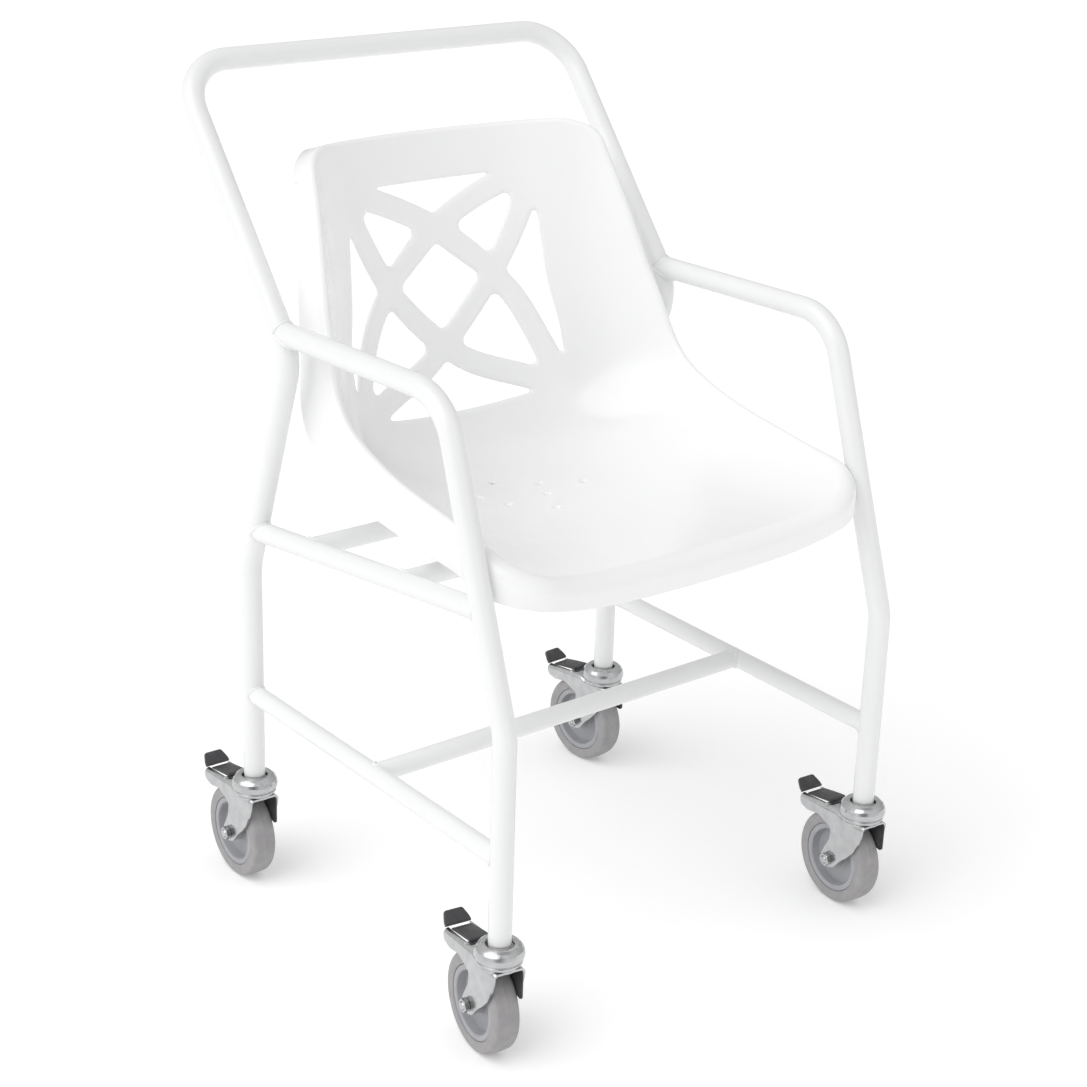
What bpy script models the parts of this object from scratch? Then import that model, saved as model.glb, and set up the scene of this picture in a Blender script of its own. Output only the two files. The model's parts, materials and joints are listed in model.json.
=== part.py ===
"""Mobile shower and commode chair: bent steel frame, one moulded seat shell and four braked castors.

Metres, +Z up. The sitter faces -Y, the floor is Z = 0 and the chair's plane of symmetry is X = 0.
"""

import math

import bmesh
import bpy
import numpy as np
from mathutils import Vector

# Frame: driving dimensions
GAP = 0.0003                # clearance left between pieces that touch
TUBE_R = 0.0112             # 22 mm tube with its coating
TUBE_WALL = 0.0016
SEAT_RAIL_R = 0.0105
LOWER_RAIL_R = 0.0098
CROSS_R = 0.0100
SIDE_X = 0.2405             # side frames stand this far from the middle
LEG_END_Z = 0.1270          # lower ends of the leg tubes
FLOOR_LIFT = 0.1225         # height of the castor datum above the floor
BACK_SHIFT = -0.0515        # puts the middle of the chair's depth on Y = 0
BEND_R = 0.055

# Seat shell
SHELL_T = 0.0035
RIM_ROLL = 0.0045
FRONT_ROLL = 0.010
CORNER_R = 0.037
SHELL_COLUMNS = 18
SHELL_ROWS = 26
BAR_WIDTH = 0.0245
CORNER_FILLET = 0.0055
DIAMOND = ((0, 0.5405), (0.0515, 0.5010), (0, 0.4498), (-0.0515, 0.5010))
SADDLE_W = 0.060
DRAIN_R = 0.0036
DRAIN_HOLES = ((-0.028, 0.088), (0.014, 0.062), (0.0005, 0.032), (-0.019, -0.005),
               (-0.053, 0.028), (0.052, 0.039), (-0.066, 0.058))

# Castor, in its own frame: +Y trails, +X runs along the axle, Z = 0 at the datum
WHEEL_R = 0.050
TREAD_HALF = 0.013
TRAIL = 0.0285
AXLE_DROP = 0.0725
FORK_HALF = 0.0170          # outer faces of the fork's cheeks
PLATE_T = 0.0024
BORE_R = TUBE_R - TUBE_WALL
HUB_R = 0.0370
CASTORS = (                 # name, side, row, swivel in degrees
    ("front_left", 1, "front", 4.6),
    ("front_right", -1, "front", 8.7),
    ("rear_left", 1, "rear", -2.6),
    ("rear_right", -1, "rear", 2.2),
)


def lever_top(y):
    """Height of the brake lever's upper face at a distance behind the swivel axis."""
    return -0.0125 - (y - 0.040) * 0.16


LEVER_T = 0.0022
PEDAL_PIVOT = (0.0395, lever_top(0.0395) - LEVER_T)
PEDAL_BEND = (0.0808, lever_top(0.0808))
PEDAL_LEAN = math.radians(38)


def at(y, z):
    """A point of the side view, measured from the wheelbase's middle and the castor datum."""
    return (y + BACK_SHIFT, z + FLOOR_LIFT)


FRONT_LEG_Y = at(-0.21, 0)[0]
REAR_LEG_Y = at(0.21, 0)[0]
FRONT_BEND = at(-0.21, 0.2147)
ARM_BEND = at(-0.1136, 0.5049)
ARM_END = at(0.1453, 0.5008)
REAR_BEND = at(0.21, 0.2406)
WAIST_BEND = at(0.1306, 0.4824)
HANDLE_CORNER = at(0.3280, 0.7288)
SEAT_RAIL_REAR = at(0.1962, 0.2827)
SEAT_RAIL_FRONT = at(-0.1741, 0.3227)
LOWER_RAIL_REAR = at(0.21, 0.0988)
LOWER_RAIL_FRONT = at(-0.21, 0.0907)
CROSS_BAR = at(-0.0085, 0.0948)
SEAT_BAR_YS = (0.1046, -0.0500)

# Stations of the seat shell from the front edge to the top edge:
# middle (y, z), rim (x, y, z), depth of the turned-down edge, its direction from straight down
STATIONS = (
    ((-0.185, 0.3340), (0.2120, -0.188, 0.3590), 0.027, 0),
    ((-0.110, 0.3290), (0.2125, -0.110, 0.3745), 0.041, 6),
    ((-0.020, 0.3235), (0.2120, -0.020, 0.3875), 0.046, 12),
    ((0.060, 0.3215), (0.2105, 0.040, 0.4040), 0.056, 20),
    ((0.125, 0.3290), (0.2095, 0.072, 0.4200), 0.064, 34),
    ((0.172, 0.3580), (0.2080, 0.0935, 0.4450), 0.064, 50),
    ((0.199, 0.4100), (0.2045, 0.108, 0.4750), 0.052, 62),
    ((0.2125, 0.4700), (0.1985, 0.125, 0.5100), 0.044, 68),
    ((0.2240, 0.5450), (0.1885, 0.150, 0.5700), 0.036, 70),
    ((0.2370, 0.6050), (0.1795, 0.172, 0.6180), 0.028, 72),
    ((0.2475, 0.6490), (0.1745, 0.190, 0.6560), 0.022, 74),
)

WHITE = (0.86, 0.87, 0.88)
ZINC = (0.62, 0.63, 0.65)
BLACK = (0.02, 0.02, 0.022)
TYRE_GREY = (0.30, 0.30, 0.31)
HUB_GREY = (0.42, 0.42, 0.43)


# ---------------------------------------------------------------- scene helpers

def clear_scene():
    for old in list(bpy.data.objects):
        bpy.data.objects.remove(old, do_unlink=True)
    for old in list(bpy.data.collections):
        bpy.data.collections.remove(old)


def new_collection(name):
    collection = bpy.data.collections.new(name)
    bpy.context.scene.collection.children.link(collection)
    return collection


def material(name, colour, roughness, metallic=0.0):
    made = bpy.data.materials.new(name)
    made.use_nodes = True
    shader = made.node_tree.nodes["Principled BSDF"]
    shader.inputs["Base Color"].default_value = (*colour, 1.0)
    shader.inputs["Roughness"].default_value = roughness
    shader.inputs["Metallic"].default_value = metallic
    return made


clear_scene()
PARTS = new_collection("shower_chair")
CUTTERS = new_collection("cutters")
PAINT = material("white_powder_coat", WHITE, 0.35)
PLASTIC = material("white_plastic", WHITE, 0.22)
PLATING = material("zinc_plate", ZINC, 0.3, 1.0)
BLACK_PLASTIC = material("black_plastic", BLACK, 0.45)
TYRE = material("grey_rubber", TYRE_GREY, 0.7)
HUB = material("grey_hub_plastic", HUB_GREY, 0.5)
NYLON = material("natural_nylon", (0.75, 0.75, 0.72), 0.45)


def add_object(name, data, collection=PARTS, parent=None):
    made = bpy.data.objects.new(name, data)
    collection.objects.link(made)
    made.parent = parent
    return made


def hide_as_cutter(cutter):
    cutter.hide_render = True
    cutter.display_type = "WIRE"
    return cutter


def baked_mesh(source, name):
    """The object's modifiers and curve settings made into a plain mesh, its seams joined."""
    bpy.context.view_layer.update()
    graph = bpy.context.evaluated_depsgraph_get()
    mesh = bpy.data.meshes.new_from_object(source.evaluated_get(graph))
    mesh.name = name
    work = bmesh.new()
    work.from_mesh(mesh)
    bmesh.ops.remove_doubles(work, verts=work.verts, dist=0.00001)
    bmesh.ops.recalc_face_normals(work, faces=work.faces)
    work.to_mesh(mesh)
    work.free()
    return mesh


def outward(mesh):
    """Turns every face of a closed mesh outwards."""
    work = bmesh.new()
    work.from_mesh(mesh)
    bmesh.ops.recalc_face_normals(work, faces=work.faces)
    work.to_mesh(mesh)
    work.free()
    return mesh


def discard(*objects):
    for old in objects:
        bpy.data.objects.remove(old, do_unlink=True)


def boolean(target, other, operation="DIFFERENCE"):
    step = target.modifiers.new(operation.lower(), "BOOLEAN")
    step.operation = operation
    step.solver = "EXACT"
    step.object = other
    return step


def smooth(mesh, angle=40):
    mesh.polygons.foreach_set("use_smooth", [True] * len(mesh.polygons))
    work = bmesh.new()
    work.from_mesh(mesh)
    for edge in work.edges:
        edge.smooth = edge.calc_face_angle(0) < math.radians(angle)
    work.to_mesh(mesh)
    work.free()
    return mesh


def finished(name, mesh, coat, collection=PARTS, parent=None):
    mesh.name = name
    mesh.materials.clear()
    mesh.materials.append(coat)
    return add_object(name, smooth(mesh), collection, parent)


# ---------------------------------------------------------------- shape helpers

def filleted(corners, radius, steps=6):
    """A route through the corners, each inner corner made an arc of the radius."""
    corners = [Vector(corner) for corner in corners]
    route = [corners[0]]
    for before, corner, after in zip(corners, corners[1:], corners[2:]):
        back = (before - corner).normalized()
        ahead = (after - corner).normalized()
        turn = math.pi - back.angle(ahead)
        reach = radius * math.tan(turn / 2)
        middle = corner + (back + ahead).normalized() * (radius / math.cos(turn / 2))
        start = corner + back * reach - middle
        end = corner + ahead * reach - middle
        for step in range(steps + 1):
            share = step / steps
            one = math.sin((1 - share) * turn) / math.sin(turn)
            two = math.sin(share * turn) / math.sin(turn)
            route.append(middle + start * one + end * two)
    route.append(corners[-1])
    return route


def tube_object(name, route, radius, sides=14, collection=PARTS):
    """A round bar along the route, as a curve with filled ends."""
    curve = bpy.data.curves.new(name, "CURVE")
    curve.dimensions = "3D"
    curve.bevel_depth = radius
    curve.bevel_resolution = (sides - 4) // 2
    curve.use_fill_caps = True
    spline = curve.splines.new("POLY")
    spline.points.add(len(route) - 1)
    for point, place in zip(spline.points, route):
        point.co = (*place, 1.0)
    return add_object(name, curve, collection)


def tube_mesh(name, route, radius, sides=14):
    source = tube_object(name + "_route", route, radius, sides)
    mesh = baked_mesh(source, name)
    discard(source)
    return mesh


def tube_cutter(name, route, radius, sides=14):
    """A bar GAP thicker than the real tube, used to cope what meets it."""
    return hide_as_cutter(add_object(name, tube_mesh(name, route, radius + GAP, sides), CUTTERS))


def turned(name, profile, axis="Z", steps=24):
    """A solid of revolution from (radius, height) points that start and end on the axis."""
    work = bmesh.new()
    rows = [work.verts.new((radius, 0, height)) for radius, height in profile]
    for one, two in zip(rows, rows[1:]):
        work.edges.new((one, two))
    mesh = bpy.data.meshes.new(name)
    work.to_mesh(mesh)
    work.free()
    source = add_object(name + "_profile", mesh)
    screw = source.modifiers.new("turn", "SCREW")
    screw.axis = "Z"
    screw.steps = steps
    screw.render_steps = steps
    screw.use_merge_vertices = True
    screw.merge_threshold = 0.0001
    made = baked_mesh(source, name)
    discard(source)
    if axis == "X":
        for vertex in made.vertices:
            x, y, z = vertex.co
            vertex.co = (z, y, -x)
    return made


def plate(name, outline, thickness, holes=()):
    """A flat outline in the (y, z) plane, given thickness along X and centred on X = 0."""
    curve = bpy.data.curves.new(name, "CURVE")
    curve.dimensions = "2D"
    curve.fill_mode = "BOTH"
    curve.extrude = thickness / 2
    for loop in (outline, *holes):
        spline = curve.splines.new("POLY")
        spline.points.add(len(loop) - 1)
        for point, (u, v) in zip(spline.points, loop):
            point.co = (u, v, 0, 1)
        spline.use_cyclic_u = True
    source = add_object(name + "_outline", curve)
    mesh = baked_mesh(source, name)
    discard(source)
    for vertex in mesh.vertices:
        u, v, depth = vertex.co
        vertex.co = (depth, u, v)
    return mesh


def rounded(corners, radius, steps=4):
    """A closed outline with its corners made arcs; a corner may carry its own radius as a third value."""
    loop = []
    count = len(corners)
    for index, corner in enumerate(corners):
        own = corner[2] if len(corner) > 2 else radius
        here = Vector(corner[:2])
        back = Vector(corners[index - 1][:2]) - here
        ahead = Vector(corners[(index + 1) % count][:2]) - here
        turn = math.pi - back.angle(ahead)
        reach = min(own * math.tan(turn / 2), 0.45 * back.length, 0.45 * ahead.length)
        if own == 0 or turn < 0.05:
            loop.append(tuple(here))
            continue
        own = reach / math.tan(turn / 2)
        back.normalize()
        ahead.normalize()
        middle = here + (back + ahead).normalized() * (own / math.cos(turn / 2))
        start = here + back * reach - middle
        end = here + ahead * reach - middle
        for step in range(steps + 1):
            share = step / steps
            one = math.sin((1 - share) * turn) / math.sin(turn)
            two = math.sin(share * turn) / math.sin(turn)
            loop.append(tuple(middle + start * one + end * two))
    return loop


def circle(radius, centre=(0, 0), steps=16):
    angles = [2 * math.pi * step / steps for step in range(steps)]
    return [(centre[0] + radius * math.cos(a), centre[1] + radius * math.sin(a)) for a in angles]


def moved(mesh, offset):
    for vertex in mesh.vertices:
        vertex.co += Vector(offset)
    return mesh


def united(name, meshes):
    """Overlapping meshes joined into one body."""
    pieces = [add_object(f"{name}_{index}", mesh) for index, mesh in enumerate(meshes)]
    for other in pieces[1:]:
        boolean(pieces[0], other, "UNION")
    mesh = baked_mesh(pieces[0], name)
    discard(*pieces)
    return mesh


# ---------------------------------------------------------------- frame

def side_point(side, yz):
    return (side * SIDE_X, *yz)


def build_frame():
    """The bent tubes of the frame, each coped against the tube that it is welded to."""
    right = [(REAR_LEG_Y, LEG_END_Z), REAR_BEND, WAIST_BEND, HANDLE_CORNER]
    rear_corners = [side_point(-1, yz) for yz in right] + [side_point(1, yz) for yz in reversed(right)]
    rear_route = filleted(rear_corners, BEND_R)
    rear_cutter = tube_cutter("rear_tube_cutter", rear_route, TUBE_R)
    bores = {}
    for name, side, row, _ in CASTORS:
        leg_y = FRONT_LEG_Y if row == "front" else REAR_LEG_Y
        bore = turned(name + "_bore", [(0, 0.04), (BORE_R, 0.04), (BORE_R, -0.01), (0, -0.01)], steps=14)
        moved(bore, (side * SIDE_X, leg_y, LEG_END_Z))
        bores[name] = hide_as_cutter(add_object(name + "_bore", bore, CUTTERS))
    rear = finished("rear_frame_tube", tube_mesh("rear_frame_tube", rear_route, TUBE_R), PAINT)
    boolean(rear, bores["rear_left"])
    boolean(rear, bores["rear_right"])
    for word, side in (("left", 1), ("right", -1)):
        front_corners = [side_point(side, yz)
                         for yz in ((FRONT_LEG_Y, LEG_END_Z), FRONT_BEND, ARM_BEND, ARM_END)]
        front_route = filleted(front_corners, BEND_R)
        front_cutter = tube_cutter(word + "_front_tube_cutter", front_route, TUBE_R)
        arm = finished(word + "_arm_and_front_leg",
                       tube_mesh(word + "_arm_and_front_leg", front_route, TUBE_R), PAINT)
        boolean(arm, rear_cutter)
        boolean(arm, bores["front_" + word])
        for name, rear_end, front_end, radius in (
            ("seat_rail", SEAT_RAIL_REAR, SEAT_RAIL_FRONT, SEAT_RAIL_R),
            ("lower_rail", LOWER_RAIL_REAR, LOWER_RAIL_FRONT, LOWER_RAIL_R),
        ):
            route = [side_point(side, rear_end), side_point(side, front_end)]
            rail = finished(f"{word}_{name}", tube_mesh(f"{word}_{name}", route, radius, 12), PAINT)
            boolean(rail, rear_cutter)
            boolean(rail, front_cutter)
            tube_cutter(f"{word}_{name}_cutter", route, radius, 12)


def rail_height(y, rear_end, front_end):
    share = (y - rear_end[0]) / (front_end[0] - rear_end[0])
    return rear_end[1] + share * (front_end[1] - rear_end[1])


def build_cross_bars():
    """The bars that join the two side frames: one low, two under the seat."""
    bars = [("lower_cross_bar", CROSS_BAR[0], "lower_rail", LOWER_RAIL_REAR, LOWER_RAIL_FRONT)]
    for name, y in zip(("rear_seat_bar", "front_seat_bar"), SEAT_BAR_YS):
        bars.append((name, y + BACK_SHIFT, "seat_rail", SEAT_RAIL_REAR, SEAT_RAIL_FRONT))
    for name, y, rail, rear_end, front_end in bars:
        z = rail_height(y, rear_end, front_end)
        route = [(-SIDE_X, y, z), (SIDE_X, y, z)]
        bar = finished(name, tube_mesh(name, route, CROSS_R, 12), PAINT)
        for word in ("left", "right"):
            boolean(bar, CUTTERS.objects[f"{word}_{rail}_cutter"])


# ---------------------------------------------------------------- seat shell

def spline_through(values, share):
    """Catmull-Rom curve through evenly spaced values, share running from 0 to 1."""
    values = np.asarray(values, float)
    last = len(values) - 1
    place = min(max(share, 0.0), 1.0) * last
    index = min(int(place), last - 1)
    t = place - index
    one, two = values[index], values[index + 1]
    zero = values[index - 1] if index > 0 else 2 * one - two
    three = values[index + 2] if index + 2 <= last else 2 * two - one
    return 0.5 * (2 * one + (two - zero) * t + (2 * zero - 5 * one + 4 * two - three) * t ** 2
                  + (3 * one - zero - 3 * two + three) * t ** 3)


MIDDLES = [station[0] for station in STATIONS]
RIMS = [station[1] for station in STATIONS]
EDGE_DEPTHS = [station[2] for station in STATIONS]
EDGE_ANGLES = [station[3] for station in STATIONS]


def shell_point(across, along):
    """A point of the shell's upper surface; across runs -1 to 1, along 0 (front) to 1 (top)."""
    middle_y, middle_z = spline_through(MIDDLES, along)
    rim_x, rim_y, rim_z = spline_through(RIMS, along)
    width = abs(across)
    flat = 0.30 + 0.35 * along ** 2
    rise = flat * width ** 2 + (1 - flat) * width ** 5
    y = middle_y + (rim_y - middle_y) * rise
    z = middle_z + (rim_z - middle_z) * rise
    return Vector((rim_x * across, y + BACK_SHIFT, z + FLOOR_LIFT))


def corner_rounded(across, along):
    """Moves a point of the square so that the square's corners become arcs of CORNER_R."""
    half_width, half_length = 0.20, 0.34
    x, y = across * half_width, (2 * along - 1) * half_length
    ring = max(abs(across), abs(2 * along - 1))
    if ring == 0:
        return across, along
    box_x, box_y = half_width * ring, half_length * ring
    radius = CORNER_R * ring
    inner_x, inner_y = box_x - radius, box_y - radius
    direction = Vector((abs(x), abs(y)))
    if direction.x > 0 and direction.y / direction.x * box_x <= inner_y:
        return across, along
    if direction.y > 0 and direction.x / direction.y * box_y <= inner_x:
        return across, along
    unit = direction.normalized()
    centre = Vector((inner_x, inner_y))
    half = unit.dot(centre)
    reach = half + math.sqrt(max(half * half - centre.length_squared + radius * radius, 0))
    scale = reach / direction.length
    return across * scale, ((2 * along - 1) * scale + 1) / 2


def edge_direction(along):
    angle = math.radians(float(spline_through(EDGE_ANGLES, along)))
    return Vector((0, math.sin(angle), -math.cos(angle)))


def shell_surface():
    """The shell's open upper surface with its rolled and turned-down edge."""
    work = bmesh.new()
    grid = []
    for row in range(SHELL_ROWS + 1):
        line = []
        for column in range(SHELL_COLUMNS + 1):
            share = corner_rounded(2 * column / SHELL_COLUMNS - 1, row / SHELL_ROWS)
            line.append((work.verts.new(shell_point(*share)), share))
        grid.append(line)
    for low, high in zip(grid, grid[1:]):
        for index in range(SHELL_COLUMNS):
            work.faces.new((low[index][0], low[index + 1][0], high[index + 1][0], high[index][0]))
    loop = grid[0][:-1] + [line[-1] for line in grid[:-1]]
    loop += grid[-1][:0:-1] + [line[0] for line in grid[:0:-1]]
    rings = [[vertex for vertex, _ in loop]]
    turns = [math.radians(a) for a in (45, 90, 135, 180)]
    for step in range(len(turns) + 1):
        ring = []
        for index, (vertex, share) in enumerate(loop):
            before, after = loop[index - 1][0].co, loop[(index + 1) % len(loop)][0].co
            down = edge_direction(share[1])
            out = (after - before).cross(-down).normalized()
            front = max(0.0, 1 - share[1] / 0.06)
            roll = RIM_ROLL + (FRONT_ROLL - RIM_ROLL) * front
            if step < len(turns):
                angle = turns[step]
                place = vertex.co + out * roll * (1 - math.cos(angle)) - down * roll * math.sin(angle)
            else:
                depth = float(spline_through(EDGE_DEPTHS, share[1]))
                place = vertex.co + out * 2 * roll + down * depth
            ring.append(work.verts.new(place))
        rings.append(ring)
    for inner, outer in zip(rings, rings[1:]):
        for index in range(len(loop)):
            after = (index + 1) % len(loop)
            work.faces.new((inner[after], inner[index], outer[index], outer[after]))
    bmesh.ops.recalc_face_normals(work, faces=work.faces)
    mesh = bpy.data.meshes.new("shell_surface")
    work.to_mesh(mesh)
    work.free()
    if mesh.polygons[SHELL_COLUMNS * 4].normal.z < 0:
        mesh.flip_normals()
    return mesh


def arc_route(points, steps=24):
    """A smooth run through the points of one lattice bar, in (x, z)."""
    route = [Vector(spline_through(points, step / steps)) for step in range(steps + 1)]
    return route


def beside(route, offset):
    """The route moved sideways by the offset, to its left when positive."""
    moved_route = []
    for index, here in enumerate(route):
        before = route[max(index - 1, 0)]
        after = route[min(index + 1, len(route) - 1)]
        ahead = (after - before).normalized()
        moved_route.append(here + Vector((-ahead.y, ahead.x)) * offset)
    return moved_route


def crossing(one, two, near):
    """Where two routes cross nearest a place: the point and the index of the segment on each."""
    found = []
    for i, (a, b) in enumerate(zip(one, one[1:])):
        for j, (c, d) in enumerate(zip(two, two[1:])):
            first, second = b - a, d - c
            spread = first.cross(second)
            if abs(spread) < 1e-12:
                continue
            t = (c - a).cross(second) / spread
            u = (c - a).cross(first) / spread
            if 0 <= t <= 1 and 0 <= u <= 1:
                place = a + first * t
                found.append(((place - near).length, place, i, j))
    return min(found, key=lambda item: item[0])[1:]


def opening(sides, near):
    """The closed outline around a place, bounded by the routes taken in order around it."""
    near = Vector(near)
    count = len(sides)
    meets = [crossing(sides[index], sides[(index + 1) % count], near) for index in range(count)]
    outline = []
    for index, route in enumerate(sides):
        start, _, enter = meets[index - 1]
        end, leave, _ = meets[index]
        run = route[enter + 1:leave + 1] if leave >= enter else route[leave + 1:enter + 1][::-1]
        outline.append((*start, CORNER_FILLET))
        outline += [(*point, 0) for point in run
                    if (point - start).length > 0.004 and (point - end).length > 0.004]
    return rounded(outline, 0, 3)


def back_openings():
    """The nine openings of the pierced back, in (x, z) before the chair's own shift."""
    top, bottom, waist = 0.6050, 0.3770, 0.0656
    upper = arc_route([(-0.1300, 0.3700), (-0.1200, 0.4060), (-0.0980, 0.4590), (-waist, 0.5025),
                       (0, 0.5560), (0.0845, 0.5957), (0.1250, 0.6080)], 32)
    lower = arc_route([(-0.1450, 0.3730), (-0.1000, 0.3900), (-0.0480, 0.4070), (0, 0.4345),
                       (waist, 0.5025), (0.1088, 0.5820), (0.1150, 0.6100)], 32)
    mirror = [[Vector((-p.x, p.y)) for p in route] for route in (upper, lower)]
    half = BAR_WIDTH / 2
    outer = {"upper": beside(upper, half), "upper_m": beside(mirror[0], -half),
             "lower": beside(lower, -half), "lower_m": beside(mirror[1], half)}
    inner = {"upper": beside(upper, -half), "upper_m": beside(mirror[0], half),
             "lower": beside(lower, half), "lower_m": beside(mirror[1], -half)}
    edge_top = [Vector((-0.2, top)), Vector((0.2, top))]
    edge_bottom = [Vector((-0.2, bottom)), Vector((0.2, bottom))]
    edge_left = [Vector(point) for point in (
        (-0.1335, 0.3500), (-0.1335, 0.4400), (-0.1292, 0.4650), (-0.1245, 0.4900),
        (-0.1210, 0.5300), (-0.1187, 0.5600), (-0.1150, 0.6200))]
    left = [
        opening([edge_left, outer["upper"], outer["lower_m"]], (-0.11, 0.50)),
        opening([outer["upper"], inner["upper_m"], inner["lower_m"]], (-0.06, 0.56)),
        opening([inner["upper"], outer["lower_m"], inner["lower"]], (-0.07, 0.44)),
    ]
    middle = [
        opening([edge_top, outer["upper"], outer["upper_m"]], (0, 0.60)),
        opening([edge_bottom, outer["lower_m"], outer["lower"]], (0, 0.39)),
        rounded(DIAMOND, CORNER_FILLET, 3),
    ]
    return left + middle + [[(-x, z) for x, z in outline] for outline in left]


def build_seat_shell():
    shell = add_object("seat_shell", shell_surface())
    thickness = shell.modifiers.new("wall", "SOLIDIFY")
    thickness.thickness = SHELL_T
    thickness.offset = -1
    for index, outline in enumerate(back_openings()):
        cutter = plate(f"back_opening_{index}", outline, 0.20)
        for vertex in cutter.vertices:
            depth, x, z = vertex.co
            vertex.co = (x, 0.2 + BACK_SHIFT - depth, z + FLOOR_LIFT)
        outward(cutter)
        holder = hide_as_cutter(add_object(f"back_opening_{index}", cutter, CUTTERS))
        boolean(shell, holder)
    for index, (x, y) in enumerate(DRAIN_HOLES):
        drill = turned("drain_drill", [(0, 0.02), (DRAIN_R, 0.02), (DRAIN_R, -0.02), (0, -0.02)], steps=8)
        moved(drill, (x, y + BACK_SHIFT, MIDDLES[2][1] + FLOOR_LIFT))
        boolean(shell, hide_as_cutter(add_object(f"drain_drill_{index}", drill, CUTTERS)))
    shell.data.materials.append(PLASTIC)
    shell.data.polygons.foreach_set("use_smooth", [True] * len(shell.data.polygons))


def build_seat_saddles():
    """The moulded saddles that hold the shell on its two bars."""
    for name, y in zip(("rear_seat_saddle", "front_seat_saddle"), SEAT_BAR_YS):
        y += BACK_SHIFT
        z = rail_height(y, SEAT_RAIL_REAR, SEAT_RAIL_FRONT)
        top = min(shell_bottom(0, y), shell_bottom(0.3, y)) - GAP
        half = CROSS_R + 0.0035
        outline = rounded([(-half, z - 0.002), (half, z - 0.002), (half, top - 0.0001), (-half, top)], 0.0005)
        body = add_object(name + "_body", moved(plate(name, outline, SADDLE_W), (0, y, 0)))
        bore = add_object(name + "_bore", tube_mesh(name, [(-0.05, y, z), (0.05, y, z)], CROSS_R + GAP, 12))
        boolean(body, bore)
        made = baked_mesh(body, name)
        discard(body, bore)
        finished(name, made, NYLON)


def shell_bottom(across, y):
    """The lowest height of the shell's underside within a saddle's reach of the depth."""
    reach = CROSS_R + 0.0035
    shares = [step / 400 for step in range(240)]
    points = [shell_point(across, share) for share in shares]
    return min(point.z for point in points if abs(point.y - y) < reach) - SHELL_T - 0.0006


# ---------------------------------------------------------------- castor

def fork_mesh():
    """Crown, two cheeks that reach back as the brake's housing, and the plate that ties them."""
    cheek = rounded([
        (-0.0200, -0.0150), (-0.0190, -0.0250), (-0.0145, -0.0380), (-0.0090, -0.0490),
        (0.0000, -0.0590), (0.0100, -0.0680), (0.0190, -0.0790, 0.006), (0.0285, -0.0830, 0.008),
        (0.0385, -0.0780, 0.006), (0.0385, -0.0690, 0.004), (0.0350, -0.0620, 0.006), (0.0285, -0.0500, 0.010),
        (0.0270, -0.0360, 0.006), (0.0480, -0.0285, 0.008), (0.0650, -0.0312, 0.004), (0.0775, -0.0282, 0.006),
        (0.0785, -0.0175, 0.002), (0.0220, -0.0120, 0.003), (0.0150, -0.0150, 0.003),
    ], 0.004, 2)
    axle_hole = circle(0.0044, (TRAIL, -AXLE_DROP), 12)
    pieces = [turned("crown", [(0, -0.0152), (0.0205, -0.0152), (0.0205, -0.0178), (0, -0.0178)], steps=20)]
    for side in (1, -1):
        cheek_mesh = plate("cheek", cheek, PLATE_T, [axle_hole])
        pieces.append(moved(cheek_mesh, (side * (FORK_HALF - PLATE_T / 2), 0, 0)))
    width = 2 * (FORK_HALF - PLATE_T) + 0.001
    tie = rounded([(0.0020, -0.0155), (0.0330, -0.0150), (0.0330, -0.0172), (0.0020, -0.0177)], 0.0004, 1)
    pieces.append(plate("tie", tie, width))
    return united("fork", pieces)


def tyre_mesh():
    half, radius = TREAD_HALF, WHEEL_R
    profile = [
        (HUB_R + GAP, half * 0.86), (radius * 0.90, half), (radius * 0.955, half * 0.93),
        (radius * 0.985, half * 0.78), (radius, half * 0.45), (radius, -half * 0.45),
        (radius * 0.985, -half * 0.78), (radius * 0.955, -half * 0.93), (radius * 0.90, -half),
        (HUB_R + GAP, -half * 0.86), (HUB_R + GAP, half * 0.86),
    ]
    return turned("tyre", profile, "X", 28)


def hub_mesh():
    half = TREAD_HALF
    face, floor, boss = half * 0.84, half * 0.30, half * 1.05
    bore = 0.0045
    right = [(bore, boss), (0.0100, boss), (0.0115, floor), (0.0305, floor), (0.0320, face), (HUB_R, face)]
    left = [(radius, -height) for radius, height in reversed(right)]
    return turned("hub", right + left + [right[0]], "X", 20)


def cup_mesh():
    profile = [
        (0.0120, -0.0040), (0.0130, 0.0040), (0.0145, 0.0052), (0.0170, 0.0050), (0.0205, 0.0030),
        (0.0232, -0.0005), (0.0240, -0.0045), (0.0236, -0.0080), (0.0222, -0.0096),
        (0.0224, -0.0110), (0.0222, -0.0138), (0.0205, -0.0148), (0.0062, -0.0148), (0.0062, -0.0040),
        (0.0120, -0.0040),
    ]
    return turned("cup", profile, steps=20)


def stem_mesh():
    """The plug inside the leg tube, its collar below the tube's end and the pin through the cup."""
    end = LEG_END_Z - FLOOR_LIFT
    plug = BORE_R - GAP
    profile = [
        (0, end + 0.034), (plug - 0.0015, end + 0.034), (plug, end + 0.031), (plug, end - GAP),
        (TUBE_R, end - GAP), (TUBE_R, end - 0.0030), (0.0095, end - 0.0062), (0.0059, end - 0.0062),
        (0.0059, -0.0147), (0, -0.0147),
    ]
    return turned("stem", profile, steps=14)


def bolt_mesh():
    head = FORK_HALF + GAP
    shank = 0.0041
    profile = [
        (0, head + 0.0050), (0.0055, head + 0.0050), (0.0070, head + 0.0035), (0.0070, head),
        (shank, head), (shank, -head - 0.0075), (0, -head - 0.0075),
    ]
    return turned("bolt", profile, "X", 12)


def nut_mesh():
    """A hexagon nut with the bolt's clearance hole through it."""
    across_corners = 0.0075
    outline = circle(across_corners, steps=6)
    body = plate("nut", outline, 0.0060, [circle(0.0044, steps=12)])
    return moved(body, (-FORK_HALF - GAP - 0.0030, 0, 0))


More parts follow.
